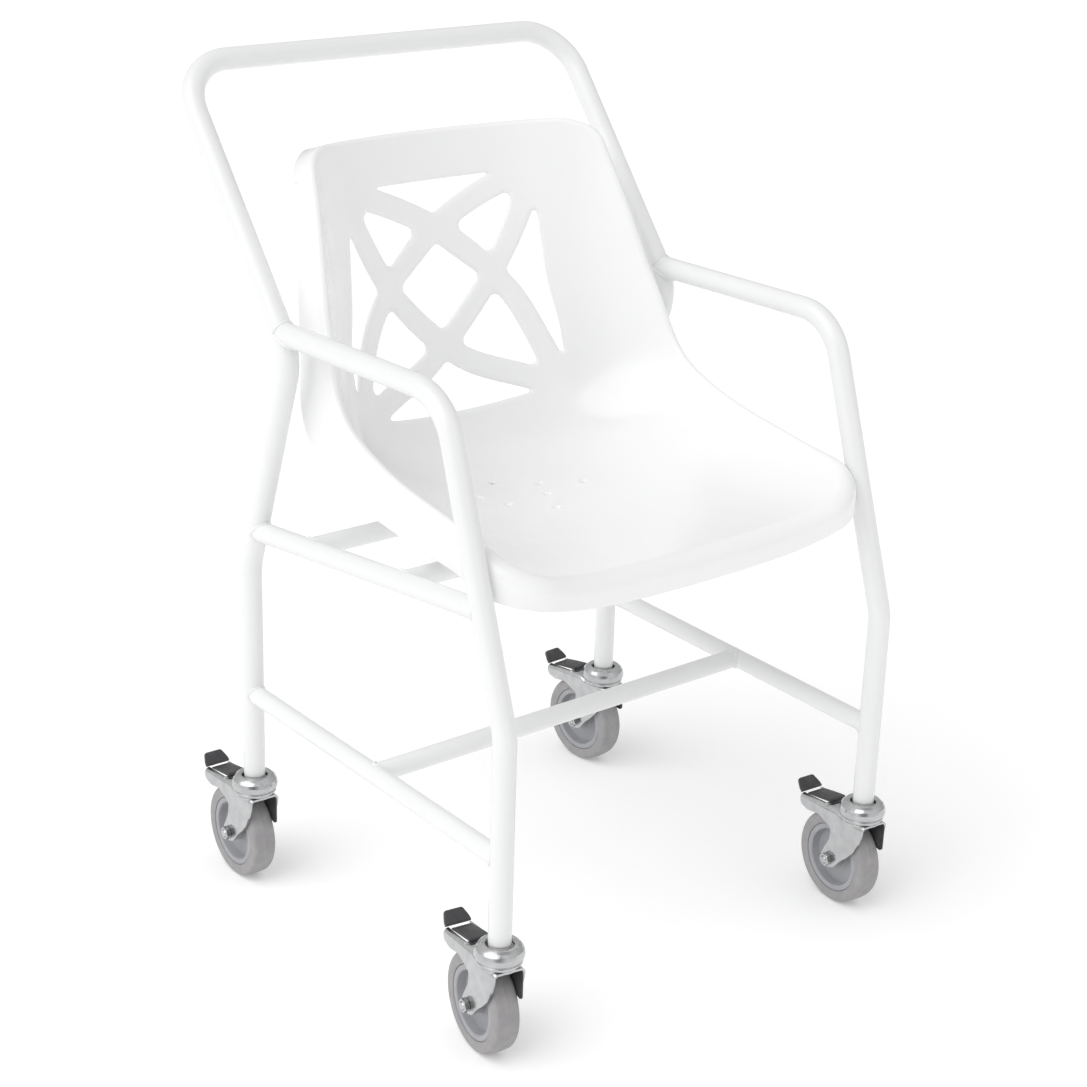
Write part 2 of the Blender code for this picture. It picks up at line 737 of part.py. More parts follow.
def pedal_lever_mesh():
    """The pressed lever between the cheeks, its end turned up, with its pivot's two ends."""
    bend_y, bend_z = PEDAL_BEND
    rise = Vector((math.cos(PEDAL_LEAN), math.sin(PEDAL_LEAN)))
    tip = Vector(PEDAL_BEND) + rise * 0.0120
    under = Vector((rise.y, -rise.x)) * LEVER_T
    side = [
        (0.0350, lever_top(0.0350)), (0.0350, lever_top(0.0350) - LEVER_T),
        (bend_y + 0.0009, bend_z - LEVER_T), tuple(tip + under), tuple(tip), PEDAL_BEND,
    ]
    half = FORK_HALF - PLATE_T - 0.0008
    blade = plate("lever", side, 2 * half)
    pivot_route = [(-half - 0.0004, *PEDAL_PIVOT), (half + 0.0004, *PEDAL_PIVOT)]
    pivot = tube_mesh("pivot", pivot_route, 0.0022, 10)
    return united("lever", [blade, pivot])


def pedal_pad_mesh():
    lift = GAP
    side = rounded([
        (0.0410, lever_top(0.0410) + lift), (0.0725, lever_top(0.0725) + lift),
        (0.0715, lever_top(0.0715) + lift + 0.0024, 0.0008), (0.0420, lever_top(0.0420) + lift + 0.0024, 0.0008),
    ], 0, 2)
    return plate("pad", side, 0.0220)


def pedal_tab_mesh():
    """The moulded tip that stands up behind the pad, narrower at its top."""
    outline = rounded([(-0.0138, 0.0), (0.0138, 0.0), (0.0100, 0.0150, 0.002), (-0.0100, 0.0150, 0.002)], 0.0006, 2)
    thickness = 0.0036
    mesh = plate("tab", outline, thickness)
    foot = Vector((0, *PEDAL_BEND))
    along = Vector((0, math.cos(PEDAL_LEAN), math.sin(PEDAL_LEAN)))
    out = Vector((0, -math.sin(PEDAL_LEAN), math.cos(PEDAL_LEAN)))
    for vertex in mesh.vertices:
        depth, across, up = vertex.co
        lift = depth + thickness / 2 + GAP
        vertex.co = foot + Vector((across, 0, 0)) + along * (up + 0.0004) + out * lift
    return outward(mesh)


def guard_mesh():
    """The thread guard inside the far cheek, standing proud of its front edge."""
    outline = rounded([
        (-0.0208, -0.0190), (-0.0208, -0.0330), (-0.0160, -0.0490), (-0.0100, -0.0500),
        (0.0060, -0.0360), (0.0060, -0.0190),
    ], 0.003, 2)
    return moved(plate("guard", outline, 0.0010), (FORK_HALF - PLATE_T - GAP - 0.0005, 0, 0))


def build_castors():
    """Four castors from one set of meshes, each under an empty on its swivel axis."""
    axle = (0, TRAIL, -AXLE_DROP)
    pivot = (0, *PEDAL_PIVOT)
    moulds = (
        ("stem", stem_mesh(), NYLON, "fixed"),
        ("swivel_cup", cup_mesh(), PLATING, "fixed"),
        ("fork", fork_mesh(), PLATING, "swivel"),
        ("thread_guard", guard_mesh(), BLACK_PLASTIC, "swivel"),
        ("axle_bolt", bolt_mesh(), PLATING, "axle_fixed"),
        ("axle_nut", nut_mesh(), PLATING, "axle_fixed"),
        ("hub", hub_mesh(), HUB, "axle"),
        ("tyre", tyre_mesh(), TYRE, "axle"),
        ("pedal_lever", pedal_lever_mesh(), PLATING, "pedal"),
        ("pedal_pad", pedal_pad_mesh(), BLACK_PLASTIC, "pedal"),
        ("pedal_tab", pedal_tab_mesh(), BLACK_PLASTIC, "pedal"),
    )
    for name, side, row, turn in CASTORS:
        leg_y = FRONT_LEG_Y if row == "front" else REAR_LEG_Y
        places = {}
        for spot, origin in (("fixed", (0, 0, 0)), ("axle", axle), ("pedal", pivot)):
            empty = add_object(f"{name}_{spot}_axis", None)
            places[spot] = empty
            empty.location = origin
        places["fixed"].location = (side * SIDE_X, leg_y, FLOOR_LIFT)
        places["fixed"].rotation_euler.z = -math.radians(turn)
        places["axle"].parent = places["fixed"]
        places["pedal"].parent = places["fixed"]
        places["swivel"] = places["fixed"]
        places["axle_fixed"] = places["axle"]
        for piece, mould, coat, spot in moulds:
            mesh = mould.copy()
            if spot == "pedal":
                moved(mesh, (-Vector(pivot)))
            finished(f"{name}_{piece}", mesh, coat, PARTS, places[spot])


build_frame()
build_cross_bars()
build_seat_shell()
build_seat_saddles()
build_castors()
bpy.context.view_layer.update()
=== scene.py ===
"""Mobile shower chair: the looks of every piece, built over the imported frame.

Metres, +Z up, the sitter faces -Y. Castor pieces are made once in the castor's own frame: +Y trails behind
the stem, +X runs along the axle and Z = 0 is the datum at FLOOR_LIFT. The joints then place them.
"""
import json
import math
from contextlib import contextmanager

import bmesh
import bpy
import numpy as np
from mathutils import Matrix, Vector
from mathutils.geometry import delaunay_2d_cdt


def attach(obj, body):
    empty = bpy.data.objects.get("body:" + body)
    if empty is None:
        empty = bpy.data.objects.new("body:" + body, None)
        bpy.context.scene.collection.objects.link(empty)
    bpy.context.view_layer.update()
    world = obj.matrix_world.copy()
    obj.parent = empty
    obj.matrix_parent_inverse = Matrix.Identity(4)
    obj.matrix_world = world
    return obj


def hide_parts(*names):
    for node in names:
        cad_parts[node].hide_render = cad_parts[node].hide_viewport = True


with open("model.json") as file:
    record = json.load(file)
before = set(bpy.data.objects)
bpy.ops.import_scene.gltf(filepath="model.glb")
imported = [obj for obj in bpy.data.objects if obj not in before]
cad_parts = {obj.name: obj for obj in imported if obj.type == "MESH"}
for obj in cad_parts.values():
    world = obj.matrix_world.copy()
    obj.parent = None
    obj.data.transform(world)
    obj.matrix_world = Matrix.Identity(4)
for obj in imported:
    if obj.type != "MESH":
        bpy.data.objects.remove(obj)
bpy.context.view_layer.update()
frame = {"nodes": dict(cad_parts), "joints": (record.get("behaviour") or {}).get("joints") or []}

# Frame
TUBE_R = 0.0112
SEAT_RAIL_R = 0.0105
LOWER_RAIL_R = 0.0098
CROSS_R = 0.01
SIDE_X = 0.2405
LEG_END_Z = 0.127
FLOOR_LIFT = 0.1225
BACK_SHIFT = -0.0515
BEND_R = 0.055
LEG_ROUNDING = 0.0016
WELD_R = 0.0017

# Seat shell
SHELL_T = 0.0035
CORNER_R = 0.037
HALF_A, HALF_B = 0.2, 0.34     # half size of the shell laid flat
BAR_WIDTH = 0.0245
CORNER_FILLET = 0.007
DIAMOND = ((0, 0.5405), (0.0515, 0.501), (0, 0.4498), (-0.0515, 0.501))
BAR_T = 0.007                  # thickness of the lattice bars, which are rounded over a width of BAR_ROLL
BAR_ROLL = 0.007
DRAIN_R = 0.0036
DRAIN_HOLES = ((-0.028, 0.088), (0.014, 0.062), (0.0005, 0.032), (-0.019, -0.005),
               (-0.053, 0.028), (0.052, 0.039), (-0.066, 0.058))

# Castor
WHEEL_R = 0.05
TREAD_HALF = 0.013
TRAIL = 0.0285
AXLE_DROP = 0.0725
FORK_HALF = 0.017
PLATE_T = 0.0024
HUB_R = 0.037
CASTORS = ("front_left", "front_right", "rear_left", "rear_right")


def at(y, z):
    """A point of the side view, measured from the wheelbase's middle and the castor datum."""
    return (y + BACK_SHIFT, z + FLOOR_LIFT)


FRONT_LEG_Y = at(-0.21, 0)[0]
REAR_LEG_Y = at(0.21, 0)[0]
FRONT_BEND = at(-0.21, 0.2147)
ARM_BEND = at(-0.1136, 0.5049)
ARM_END = at(0.1453, 0.5008)
REAR_BEND = at(0.21, 0.2406)
WAIST_BEND = at(0.1306, 0.4824)
HANDLE_CORNER = at(0.328, 0.7288)
SEAT_RAIL = (at(0.1962, 0.2827), at(-0.1741, 0.3227))
LOWER_RAIL = (at(0.21, 0.0988), at(-0.21, 0.0907))
CROSS_BARS = (("lower_cross_bar", -0.0085, LOWER_RAIL, LOWER_RAIL_R),
              ("rear_seat_bar", 0.1046, SEAT_RAIL, SEAT_RAIL_R),
              ("front_seat_bar", -0.05, SEAT_RAIL, SEAT_RAIL_R))

# Stations of the seat shell from the front edge to the top edge:
# middle (y, z), rim (x, y, z), depth of the turned-down edge, its direction from straight down
STATIONS = (
    ((-0.185, 0.334), (0.212, -0.188, 0.359), 0.028, 0),
    ((-0.11, 0.329), (0.2125, -0.11, 0.3745), 0.041, 6),
    ((-0.02, 0.3235), (0.212, -0.02, 0.3875), 0.046, 12),
    ((0.06, 0.3215), (0.2105, 0.04, 0.404), 0.056, 20),
    ((0.125, 0.329), (0.2095, 0.072, 0.42), 0.064, 34),
    ((0.172, 0.358), (0.208, 0.0935, 0.445), 0.064, 50),
    ((0.199, 0.41), (0.2045, 0.108, 0.475), 0.052, 62),
    ((0.2125, 0.47), (0.1985, 0.125, 0.51), 0.044, 68),
    ((0.224, 0.545), (0.1885, 0.15, 0.57), 0.036, 70),
    ((0.237, 0.605), (0.1795, 0.172, 0.618), 0.028, 72),
    ((0.2475, 0.649), (0.1745, 0.19, 0.656), 0.022, 74),
)


# ==== Materials

def new_shader(name):
    """A material, its node tree, its Principled shader and rest-place coordinates."""
    made = bpy.data.materials.new(name)
    made.use_nodes = True
    tree = made.node_tree
    place = tree.nodes.new("ShaderNodeTexCoord")
    return made, tree, tree.nodes["Principled BSDF"], place.outputs["Object"]


def noise(tree, where, scale, detail=3.0, rough=0.5):
    node = tree.nodes.new("ShaderNodeTexNoise")
    node.inputs["Scale"].default_value = scale
    node.inputs["Detail"].default_value = detail
    node.inputs["Roughness"].default_value = rough
    tree.links.new(where, node.inputs["Vector"])
    return node.outputs["Fac"]


def spread(tree, value, low, high, out_low, out_high):
    node = tree.nodes.new("ShaderNodeMapRange")
    for name, number in (("From Min", low), ("From Max", high), ("To Min", out_low), ("To Max", out_high)):
        node.inputs[name].default_value = number
    tree.links.new(value, node.inputs["Value"])
    return node.outputs["Result"]


def blend_colours(tree, share, one, two):
    node = tree.nodes.new("ShaderNodeMix")
    node.data_type = "RGBA"
    for socket, colour in ((node.inputs[6], one), (node.inputs[7], two)):
        if hasattr(colour, "links"):
            tree.links.new(colour, socket)
        else:
            socket.default_value = (*colour, 1.0)
    tree.links.new(share, node.inputs[0])
    return node.outputs[2]


def relief(tree, shader, heights, strength):
    """Bumps stacked from (height, distance) pairs."""
    normal = None
    for height, distance in heights:
        bump = tree.nodes.new("ShaderNodeBump")
        bump.inputs["Strength"].default_value = strength
        bump.inputs["Distance"].default_value = distance
        tree.links.new(height, bump.inputs["Height"])
        if normal:
            tree.links.new(normal, bump.inputs["Normal"])
        normal = bump.outputs["Normal"]
    tree.links.new(normal, shader.inputs["Normal"])


def toned(name, grain, reach, colours):
    """A shader whose colour goes from one to the other over a noise's reach; also the share of the second.
    The grain is the noise's scale, detail and roughness."""
    made, tree, shader, where = new_shader(name)
    share = spread(tree, noise(tree, where, *grain), *reach, 0.0, 1.0)
    tree.links.new(blend_colours(tree, share, *colours), shader.inputs["Base Color"])
    return made, tree, shader, where, share


def glossed(tree, shader, value, *spans):
    tree.links.new(spread(tree, value, *spans), shader.inputs["Roughness"])


def coated(shader, weight, roughness):
    shader.inputs["Coat Weight"].default_value = weight
    shader.inputs["Coat Roughness"].default_value = roughness


def powder_coat():
    """Smooth gloss powder coat: faint orange peel, a little unevenness in gloss and tone."""
    made, tree, shader, where, _ = toned("white_powder_coat_look", (9.0,), (0.35, 0.65),
                                         ((0.842, 0.846, 0.846), (0.852, 0.856, 0.856)))
    glossed(tree, shader, noise(tree, where, 60.0), 0.3, 0.7, 0.3, 0.36)
    coated(shader, 0.3, 0.12)
    relief(tree, shader, [(noise(tree, where, 420.0, 2.0), 0.00002)], 0.1)
    return made


def moulded_plastic():
    """Glossy white polypropylene: faint flow marks, fine scuffs in the gloss where a sitter slides."""
    made, tree, shader, where, _ = toned("white_plastic_look", (5.0, 4.0), (0.35, 0.65),
                                         ((0.92, 0.923, 0.922), (0.938, 0.94, 0.939)))
    stretched = tree.nodes.new("ShaderNodeMapping")
    stretched.inputs["Scale"].default_value = (1.0, 0.15, 1.0)
    tree.links.new(where, stretched.inputs["Vector"])
    scuffs = noise(tree, stretched.outputs["Vector"], 260.0, 5.0, 0.65)
    glossed(tree, shader, scuffs, 0.35, 0.75, 0.17, 0.26)
    shader.inputs["IOR"].default_value = 1.49
    coated(shader, 0.15, 0.06)
    flow, grain = noise(tree, where, 26.0, 2.0), noise(tree, where, 900.0, 2.0)
    relief(tree, shader, [(flow, 0.0004), (grain, 0.00002)], 0.2)
    return made


def zinc_plating():
    """Bright zinc: soft spangle, brushed roughness, a faint cool and warm tint, dull patches."""
    made, tree, shader, where = new_shader("zinc_plate_look")
    cloud = spread(tree, noise(tree, where, 90.0, 4.0), 0.35, 0.65, 0.0, 1.0)
    cool = blend_colours(tree, cloud, (0.48, 0.49, 0.5), (0.56, 0.565, 0.57))
    warm = spread(tree, noise(tree, where, 45.0, 4.0), 0.45, 0.75, 0.0, 0.5)
    tree.links.new(blend_colours(tree, warm, cool, (0.53, 0.525, 0.51)), shader.inputs["Base Color"])
    glossed(tree, shader, noise(tree, where, 150.0, 4.0), 0.3, 0.7, 0.14, 0.25)
    shader.inputs["Metallic"].default_value = 1.0
    relief(tree, shader, [(noise(tree, where, 900.0, 3.0), 0.00002)], 0.35)
    return made


def black_moulding():
    """Satin black plastic with a fine spark-eroded grain, worn a little paler."""
    made, tree, shader, where, _ = toned("black_plastic_look", (70.0, 5.0, 0.6), (0.5, 0.8),
                                         ((0.045, 0.045, 0.048), (0.085, 0.085, 0.088)))
    glossed(tree, shader, noise(tree, where, 300.0), 0.3, 0.7, 0.4, 0.55)
    relief(tree, shader, [(noise(tree, where, 2600.0, 2.0), 0.00006)], 0.6)
    return made


def tyre_rubber():
    """Grey non-marking rubber: fine grain, dust worked into it, scuffs in its surface relief."""
    made, tree, shader, where, dust = toned("grey_rubber_look", (90.0, 6.0, 0.65), (0.42, 0.72),
                                            ((0.305, 0.296, 0.304), (0.372, 0.362, 0.364)))
    glossed(tree, shader, dust, 0.0, 1.0, 0.55, 0.75)
    grain, scuffs = noise(tree, where, 1800.0, 3.0), noise(tree, where, 240.0, 4.0)
    relief(tree, shader, [(grain, 0.00008), (scuffs, 0.0001)], 0.5)
    return made


def hub_plastic():
    made, tree, shader, where, _ = toned("grey_hub_look", (60.0, 4.0), (0.35, 0.7),
                                         ((0.335, 0.338, 0.357), (0.375, 0.378, 0.394)))
    glossed(tree, shader, noise(tree, where, 200.0), 0.3, 0.7, 0.38, 0.52)
    relief(tree, shader, [(noise(tree, where, 1400.0, 2.0), 0.00005)], 0.4)
    return made


def nylon():
    made, tree, shader, where, _ = toned("natural_nylon_look", (40.0,), (0.35, 0.65),
                                         ((0.7, 0.7, 0.66), (0.76, 0.76, 0.73)))
    glossed(tree, shader, noise(tree, where, 260.0), 0.3, 0.7, 0.38, 0.5)
    relief(tree, shader, [(noise(tree, where, 1200.0, 2.0), 0.00005)], 0.4)
    return made


LOOKS = {
    "white_powder_coat": powder_coat(), "white_plastic": moulded_plastic(), "zinc_plate": zinc_plating(),
    "black_plastic": black_moulding(), "grey_rubber": tyre_rubber(), "grey_hub_plastic": hub_plastic(),
    "natural_nylon": nylon(),
}


# ==== Mesh helpers

def shown(name, mesh, body, slot, nodes=()):
    """A visible piece that rides on a body and stands for the nodes of the frame."""
    mesh.name = name
    mesh.materials.clear()
    mesh.materials.append(LOOKS[slot])
    made = bpy.data.objects.new(name, mesh)
    bpy.context.scene.collection.objects.link(made)
    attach(made, body)
    if nodes:
        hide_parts(*nodes)
    return made


@contextmanager
def editing(mesh):
    """The mesh opened as a bmesh, and written back afterwards."""
    work = bmesh.new()
    work.from_mesh(mesh)
    yield work
    work.to_mesh(mesh)
    work.free()


def smoothed(mesh, angle=34):
    """Smooth shading, left crisp along edges sharper than the angle."""
    with editing(mesh) as work:
        bmesh.ops.recalc_face_normals(work, faces=work.faces)
        for face in work.faces:
            face.smooth = True
        for edge in work.edges:
            edge.smooth = edge.calc_face_angle(0) < math.radians(angle)
    return mesh


def mesh_of(points, faces):
    mesh = bpy.data.meshes.new("piece")
    mesh.from_pydata([tuple(point) for point in points], [], [tuple(face) for face in faces])
    return mesh


def joined(meshes):
    """Several meshes in one, without welding them."""
    work = bmesh.new()
    for mesh in meshes:
        work.from_mesh(mesh)
    made = bpy.data.meshes.new("joined")
    work.to_mesh(made)
    work.free()
    return made


def arc_points(here, back, ahead, radius, steps, room=0.45):
    """The arc that rounds a corner between two directions, its radius cut so that it takes up no more than
    the given share of either side."""
    turn = math.pi - back.angle(ahead)
    reach = min(radius * math.tan(turn / 2), room * back.length, room * ahead.length)
    if turn < 0.03 or reach <= 0:
        return [here]
    radius = reach / math.tan(turn / 2)
    back, ahead = back.normalized(), ahead.normalized()
    middle = here + (back + ahead).normalized() * (radius / math.cos(turn / 2))
    start, end = here + back * reach - middle, here + ahead * reach - middle
    shares = [step / steps for step in range(steps + 1)]
    return [middle + (start * math.sin((1 - share) * turn) + end * math.sin(share * turn)) / math.sin(turn)
            for share in shares]


def filleted(corners, radius, steps=14):
    """A route through the corners, each inner corner made an arc."""
    corners = [Vector(corner) for corner in corners]
    route = [corners[0]]
    for before, here, after in zip(corners, corners[1:], corners[2:]):
        route += arc_points(here, before - here, after - here, radius, steps)
    return route + [corners[-1]]


def rounded(corners, radius, steps=5, room=0.45):
    """A closed outline with rounded corners; a corner may carry its own radius as a third value."""
    loop = []
    for index, corner in enumerate(corners):
        own = corner[2] if len(corner) > 2 else radius
        here = Vector(corner[:2])
        back = Vector(corners[index - 1][:2]) - here
        ahead = Vector(corners[(index + 1) % len(corners)][:2]) - here
        arc = arc_points(here, back, ahead, own, steps, room) if own else [here]
        loop += [tuple(point) for point in arc]
    return loop


def sweep(route, radii, sides=32, closed=False):
    """A round bar along the route whose radius may change from point to point."""
    count = len(route)
    aheads = []
    for index in range(count):
        one = route[index - 1] if closed or index else route[0]
        two = route[(index + 1) % count] if closed or index + 1 < count else route[-1]
        aheads.append((two - one).normalized())
    side = aheads[0].orthogonal().normalized()
    points = []
    for here, ahead, radius in zip(route, aheads, radii):
        side = (side - ahead * side.dot(ahead)).normalized()
        other = ahead.cross(side)
        for step in range(sides):
            angle = 2 * math.pi * step / sides
            points.append(here + (side * math.cos(angle) + other * math.sin(angle)) * radius)
    faces = []
    for ring in range(count if closed else count - 1):
        low, high = ring * sides, ((ring + 1) % count) * sides
        shift = 0
        if closed and ring == count - 1:
            first = (points[high] - route[0]).normalized()
            shift = min(range(sides), key=lambda k: -first.dot((points[low + k] - route[ring]).normalized()))
        for step in range(sides):
            a, b = (step + shift) % sides, (step + 1 + shift) % sides
            faces.append((low + a, low + b, high + (step + 1) % sides, high + step))
    if not closed:
        faces.append(tuple(range(sides))[::-1])
        faces.append(tuple(range((count - 1) * sides, count * sides)))
    return mesh_of(points, faces)


def lathe(profile, steps=72, axis="Z"):
    """A solid of revolution from (radius, height) points; a radius of 0 makes a pole."""
    points, rows, faces = [], [], []
    for radius, height in profile:
        if radius == 0:
            rows.append([len(points)] * steps)
            points.append((0, 0, height))
            continue
        rows.append(list(range(len(points), len(points) + steps)))
        for step in range(steps):
            angle = 2 * math.pi * step / steps
            points.append((radius * math.cos(angle), radius * math.sin(angle), height))
    for one, two in zip(rows, rows[1:]):
        for step in range(steps):
            after = (step + 1) % steps
            face = [one[step], one[after], two[after], two[step]]
            face = [corner for index, corner in enumerate(face) if corner != face[index - 1]]
            if len(face) > 2:
                faces.append(face)
    if axis == "X":
        points = [(z, y, -x) for x, y, z in points]
    mesh = mesh_of(points, faces)
    with editing(mesh) as work:
        bmesh.ops.remove_doubles(work, verts=work.verts, dist=0.000001)
    return smoothed(mesh)


def plate(outline, thickness, edge=0.0005, holes=()):
    """A flat outline in (y, z) with its edges rounded over, its thickness along X about X = 0."""
    curve = bpy.data.curves.new("outline", "CURVE")
    curve.dimensions = "2D"
    curve.fill_mode = "BOTH"
    curve.extrude = thickness / 2 - edge
    curve.bevel_depth = edge
    curve.bevel_resolution = 2
    curve.offset = -edge
    for loop in (outline, *holes):
        spline = curve.splines.new("POLY")
        spline.points.add(len(loop) - 1)
        for point, (u, v) in zip(spline.points, loop):
            point.co = (u, v, 0, 1)
        spline.use_cyclic_u = True
    mesh = baked(bpy.data.objects.new("outline", curve))
    for vertex in mesh.vertices:
        u, v, depth = vertex.co
        vertex.co = (depth, u, v)
    return smoothed(mesh)


def baked(source, others=()):
    """The object with its modifiers applied, as a plain mesh; the object and its helpers are removed."""
    for one in (source, *others):
        if one.name not in bpy.context.scene.collection.objects:
            bpy.context.scene.collection.objects.link(one)
    bpy.context.view_layer.update()
    mesh = bpy.data.meshes.new_from_object(source.evaluated_get(bpy.context.evaluated_depsgraph_get()))
    for one in (source, *others):
        bpy.data.objects.remove(one, do_unlink=True)
    with editing(mesh) as work:
        bmesh.ops.remove_doubles(work, verts=work.verts, dist=0.000005)
        bmesh.ops.recalc_face_normals(work, faces=work.faces)
    return mesh


def combined(first, others, operation, bevel=0.0):
    """First united with, cut by or kept inside the other meshes, then its sharp edges rounded over."""
    source = bpy.data.objects.new("first", first)
    helpers = []
    for mesh in others:
        helper = bpy.data.objects.new("helper", mesh)
        step = source.modifiers.new("step", "BOOLEAN")
        step.operation = operation
        step.solver = "EXACT"
        step.object = helper
        helpers.append(helper)
    mesh = baked(source, helpers)
    if bevel:
        with editing(mesh) as work:
            bmesh.ops.dissolve_limit(work, angle_limit=math.radians(1), verts=work.verts, edges=work.edges)
        source = bpy.data.objects.new("edged", mesh)
        step = source.modifiers.new("edges", "BEVEL")
        step.width = bevel
        step.segments = 2
        step.limit_method = "ANGLE"
        step.angle_limit = math.radians(38)
        mesh = baked(source)
    return smoothed(mesh)


def moved(mesh, offset):
    mesh.transform(Matrix.Translation(offset))
    return mesh


# ==== Frame tubes

def side_point(side, yz):
    return Vector((side * SIDE_X, *yz))


def leg_tube(route, both_ends=False):
    """A leg tube: its lower end, or both ends, softened where it was cut and coated."""
    shares = [math.pi / 2 * step / 5 for step in range(5)]
    depths = [LEG_ROUNDING * (1 - math.cos(angle)) for angle in shares]
    radii_in = [TUBE_R - LEG_ROUNDING * (1 - math.sin(angle)) for angle in shares]
    start, ahead = route[0], (route[1] - route[0]).normalized()
    full = [start + ahead * depth for depth in depths] + [start + ahead * LEG_ROUNDING] + route[1:]
    radii = radii_in + [TUBE_R] * len(route)
    if both_ends:
        end, back = route[-1], (route[-2] - route[-1]).normalized()
        full = full[:-1] + [end + back * LEG_ROUNDING] + [end + back * depth for depth in depths[::-1]]
        radii = radii + radii_in[::-1]
    return smoothed(sweep(full, radii))


def weld(start, ahead, radius, through, through_ahead, through_radius, phase):
    """The small painted bead where a round bar runs into a round tube, slightly uneven all round."""
    side = ahead.orthogonal().normalized()
    other = ahead.cross(side)
    count = 96
    route, radii = [], []
    for step in range(count):
        angle = 2 * math.pi * step / count
        edge = start + (side * math.cos(angle) + other * math.sin(angle)) * radius
        gap = edge - through
        flat_gap = gap - through_ahead * gap.dot(through_ahead)
        flat_run = ahead - through_ahead * ahead.dot(through_ahead)
        a, b = flat_run.dot(flat_run), 2 * flat_gap.dot(flat_run)
        c = flat_gap.dot(flat_gap) - through_radius ** 2
        root = math.sqrt(max(b * b - 4 * a * c, 0.0))
        route.append(edge + ahead * ((-b - root) / (2 * a)))
        ripple = 0.1 * math.sin(angle * 19 + phase) + 0.08 * math.sin(angle * 3 + 2 * phase)
        radii.append(WELD_R * (1 + ripple))
    return smoothed(sweep(route, radii, 10, closed=True), 80)


def bar_with_welds(name, ends, radius, joints, phase):
    """A straight bar between two points with a weld bead on each tube that it meets."""
    one, two = Vector(ends[0]), Vector(ends[1])
    ahead = (two - one).normalized()
    pieces = [smoothed(sweep([one, two], [radius, radius]))]
    for start, run, (through, through_ahead, through_radius) in zip((two, one), (-ahead, ahead), joints):
        out = start + run * 0.05
        pieces.append(weld(out, -run, radius, through, through_ahead, through_radius, phase))
    shown(name + "_shown", joined(pieces), "frame", "white_powder_coat", [name])


def build_frame():
    rear = [(REAR_LEG_Y, LEG_END_Z), REAR_BEND, WAIST_BEND, HANDLE_CORNER]
    corners = [side_point(-1, yz) for yz in rear] + [side_point(1, yz) for yz in reversed(rear)]
    shown("rear_frame_tube_shown", leg_tube(filleted(corners, BEND_R), both_ends=True), "frame",
          "white_powder_coat", ["rear_frame_tube"])
    for word, side in (("left", 1), ("right", -1)):
        front = [side_point(side, yz) for yz in ((FRONT_LEG_Y, LEG_END_Z), FRONT_BEND, ARM_BEND, ARM_END)]
        waist, handle = side_point(side, WAIST_BEND), side_point(side, HANDLE_CORNER)
        rise = (handle - waist).normalized()
        run = (front[-1] - front[-2]).normalized()
        bead = weld(front[-1] - run * 0.05, run, TUBE_R, front[-1], rise, TUBE_R, side)
        shown(word + "_arm_and_front_leg_shown", joined([leg_tube(filleted(front, BEND_R)), bead]), "frame",
              "white_powder_coat", [word + "_arm_and_front_leg"])
        bend_rear, bend_front = side_point(side, REAR_BEND), side_point(side, FRONT_BEND)
        slant_rear = (bend_rear, (waist - bend_rear).normalized(), TUBE_R)
        slant_front = (bend_front, (side_point(side, ARM_BEND) - bend_front).normalized(), TUBE_R)
        upright_rear = (bend_rear, Vector((0, 0, 1)), TUBE_R)
        upright_front = (bend_front, Vector((0, 0, 1)), TUBE_R)
        bar_with_welds(word + "_seat_rail", [side_point(side, yz) for yz in SEAT_RAIL], SEAT_RAIL_R,
                       (slant_front, slant_rear), 1.3 * side)
        bar_with_welds(word + "_lower_rail", [side_point(side, yz) for yz in LOWER_RAIL], LOWER_RAIL_R,
                       (upright_front, upright_rear), 2.1 * side)


def rail_height(y, rail):
    (rear_y, rear_z), (front_y, front_z) = rail
    return rear_z + (front_z - rear_z) * (y - rear_y) / (front_y - rear_y)


def build_cross_bars():
    for index, (name, place, rail, rail_radius) in enumerate(CROSS_BARS):
        y = place + BACK_SHIFT
        z = rail_height(y, rail)
        (rear_y, rear_z), (front_y, front_z) = rail
        along = Vector((0, front_y - rear_y, front_z - rear_z)).normalized()
        ends = [(-SIDE_X, y, z), (SIDE_X, y, z)]
        joints = [(Vector(ends[1]), along, rail_radius), (Vector(ends[0]), along, rail_radius)]
        bar_with_welds(name, ends, CROSS_R, joints, 0.7 + index)


# ==== Seat shell

def natural(values):
    """A natural cubic curve through evenly spaced values, as a function of a share from 0 to 1."""
    values = np.asarray(values, float).reshape(len(values), -1)
    count = len(values)
    system, right = np.eye(count), np.zeros_like(values)
    for row in range(1, count - 1):
        system[row, row - 1:row + 2] = (1, 4, 1)
        right[row] = 6 * (values[row - 1] - 2 * values[row] + values[row + 1])
    bend = np.linalg.solve(system, right)

    def curve(share):
        place = np.atleast_1d(share) * (count - 1)
        index = np.clip(place.astype(int), 0, count - 2)
        t = (place - index)[:, None]
        s = 1 - t
        cubic = (s ** 3 - s) * bend[index] + (t ** 3 - t) * bend[index + 1]
        return s * values[index] + t * values[index + 1] + cubic / 6
    return curve


MIDDLE = natural([station[0] for station in STATIONS])
RIM = natural([station[1] for station in STATIONS])
EDGE_DEPTH = natural([station[2] for station in STATIONS])
EDGE_ANGLE = natural([station[3] for station in STATIONS])


def shell_point(across, along):
    """Points of the shell's upper surface; across runs -1 to 1, along 0 (front) to 1 (top)."""
    middle, rim = MIDDLE(along), RIM(along)
    width = np.abs(across)
    flat = 0.3 + 0.35 * along ** 2
    rise = flat * width ** 2 + (1 - flat) * width ** 5
    y = middle[:, 0] + (rim[:, 1] - middle[:, 0]) * rise + BACK_SHIFT
    z = middle[:, 1] + (rim[:, 2] - middle[:, 1]) * rise + FLOOR_LIFT
    return np.stack([rim[:, 0] * across, y, z], axis=1)


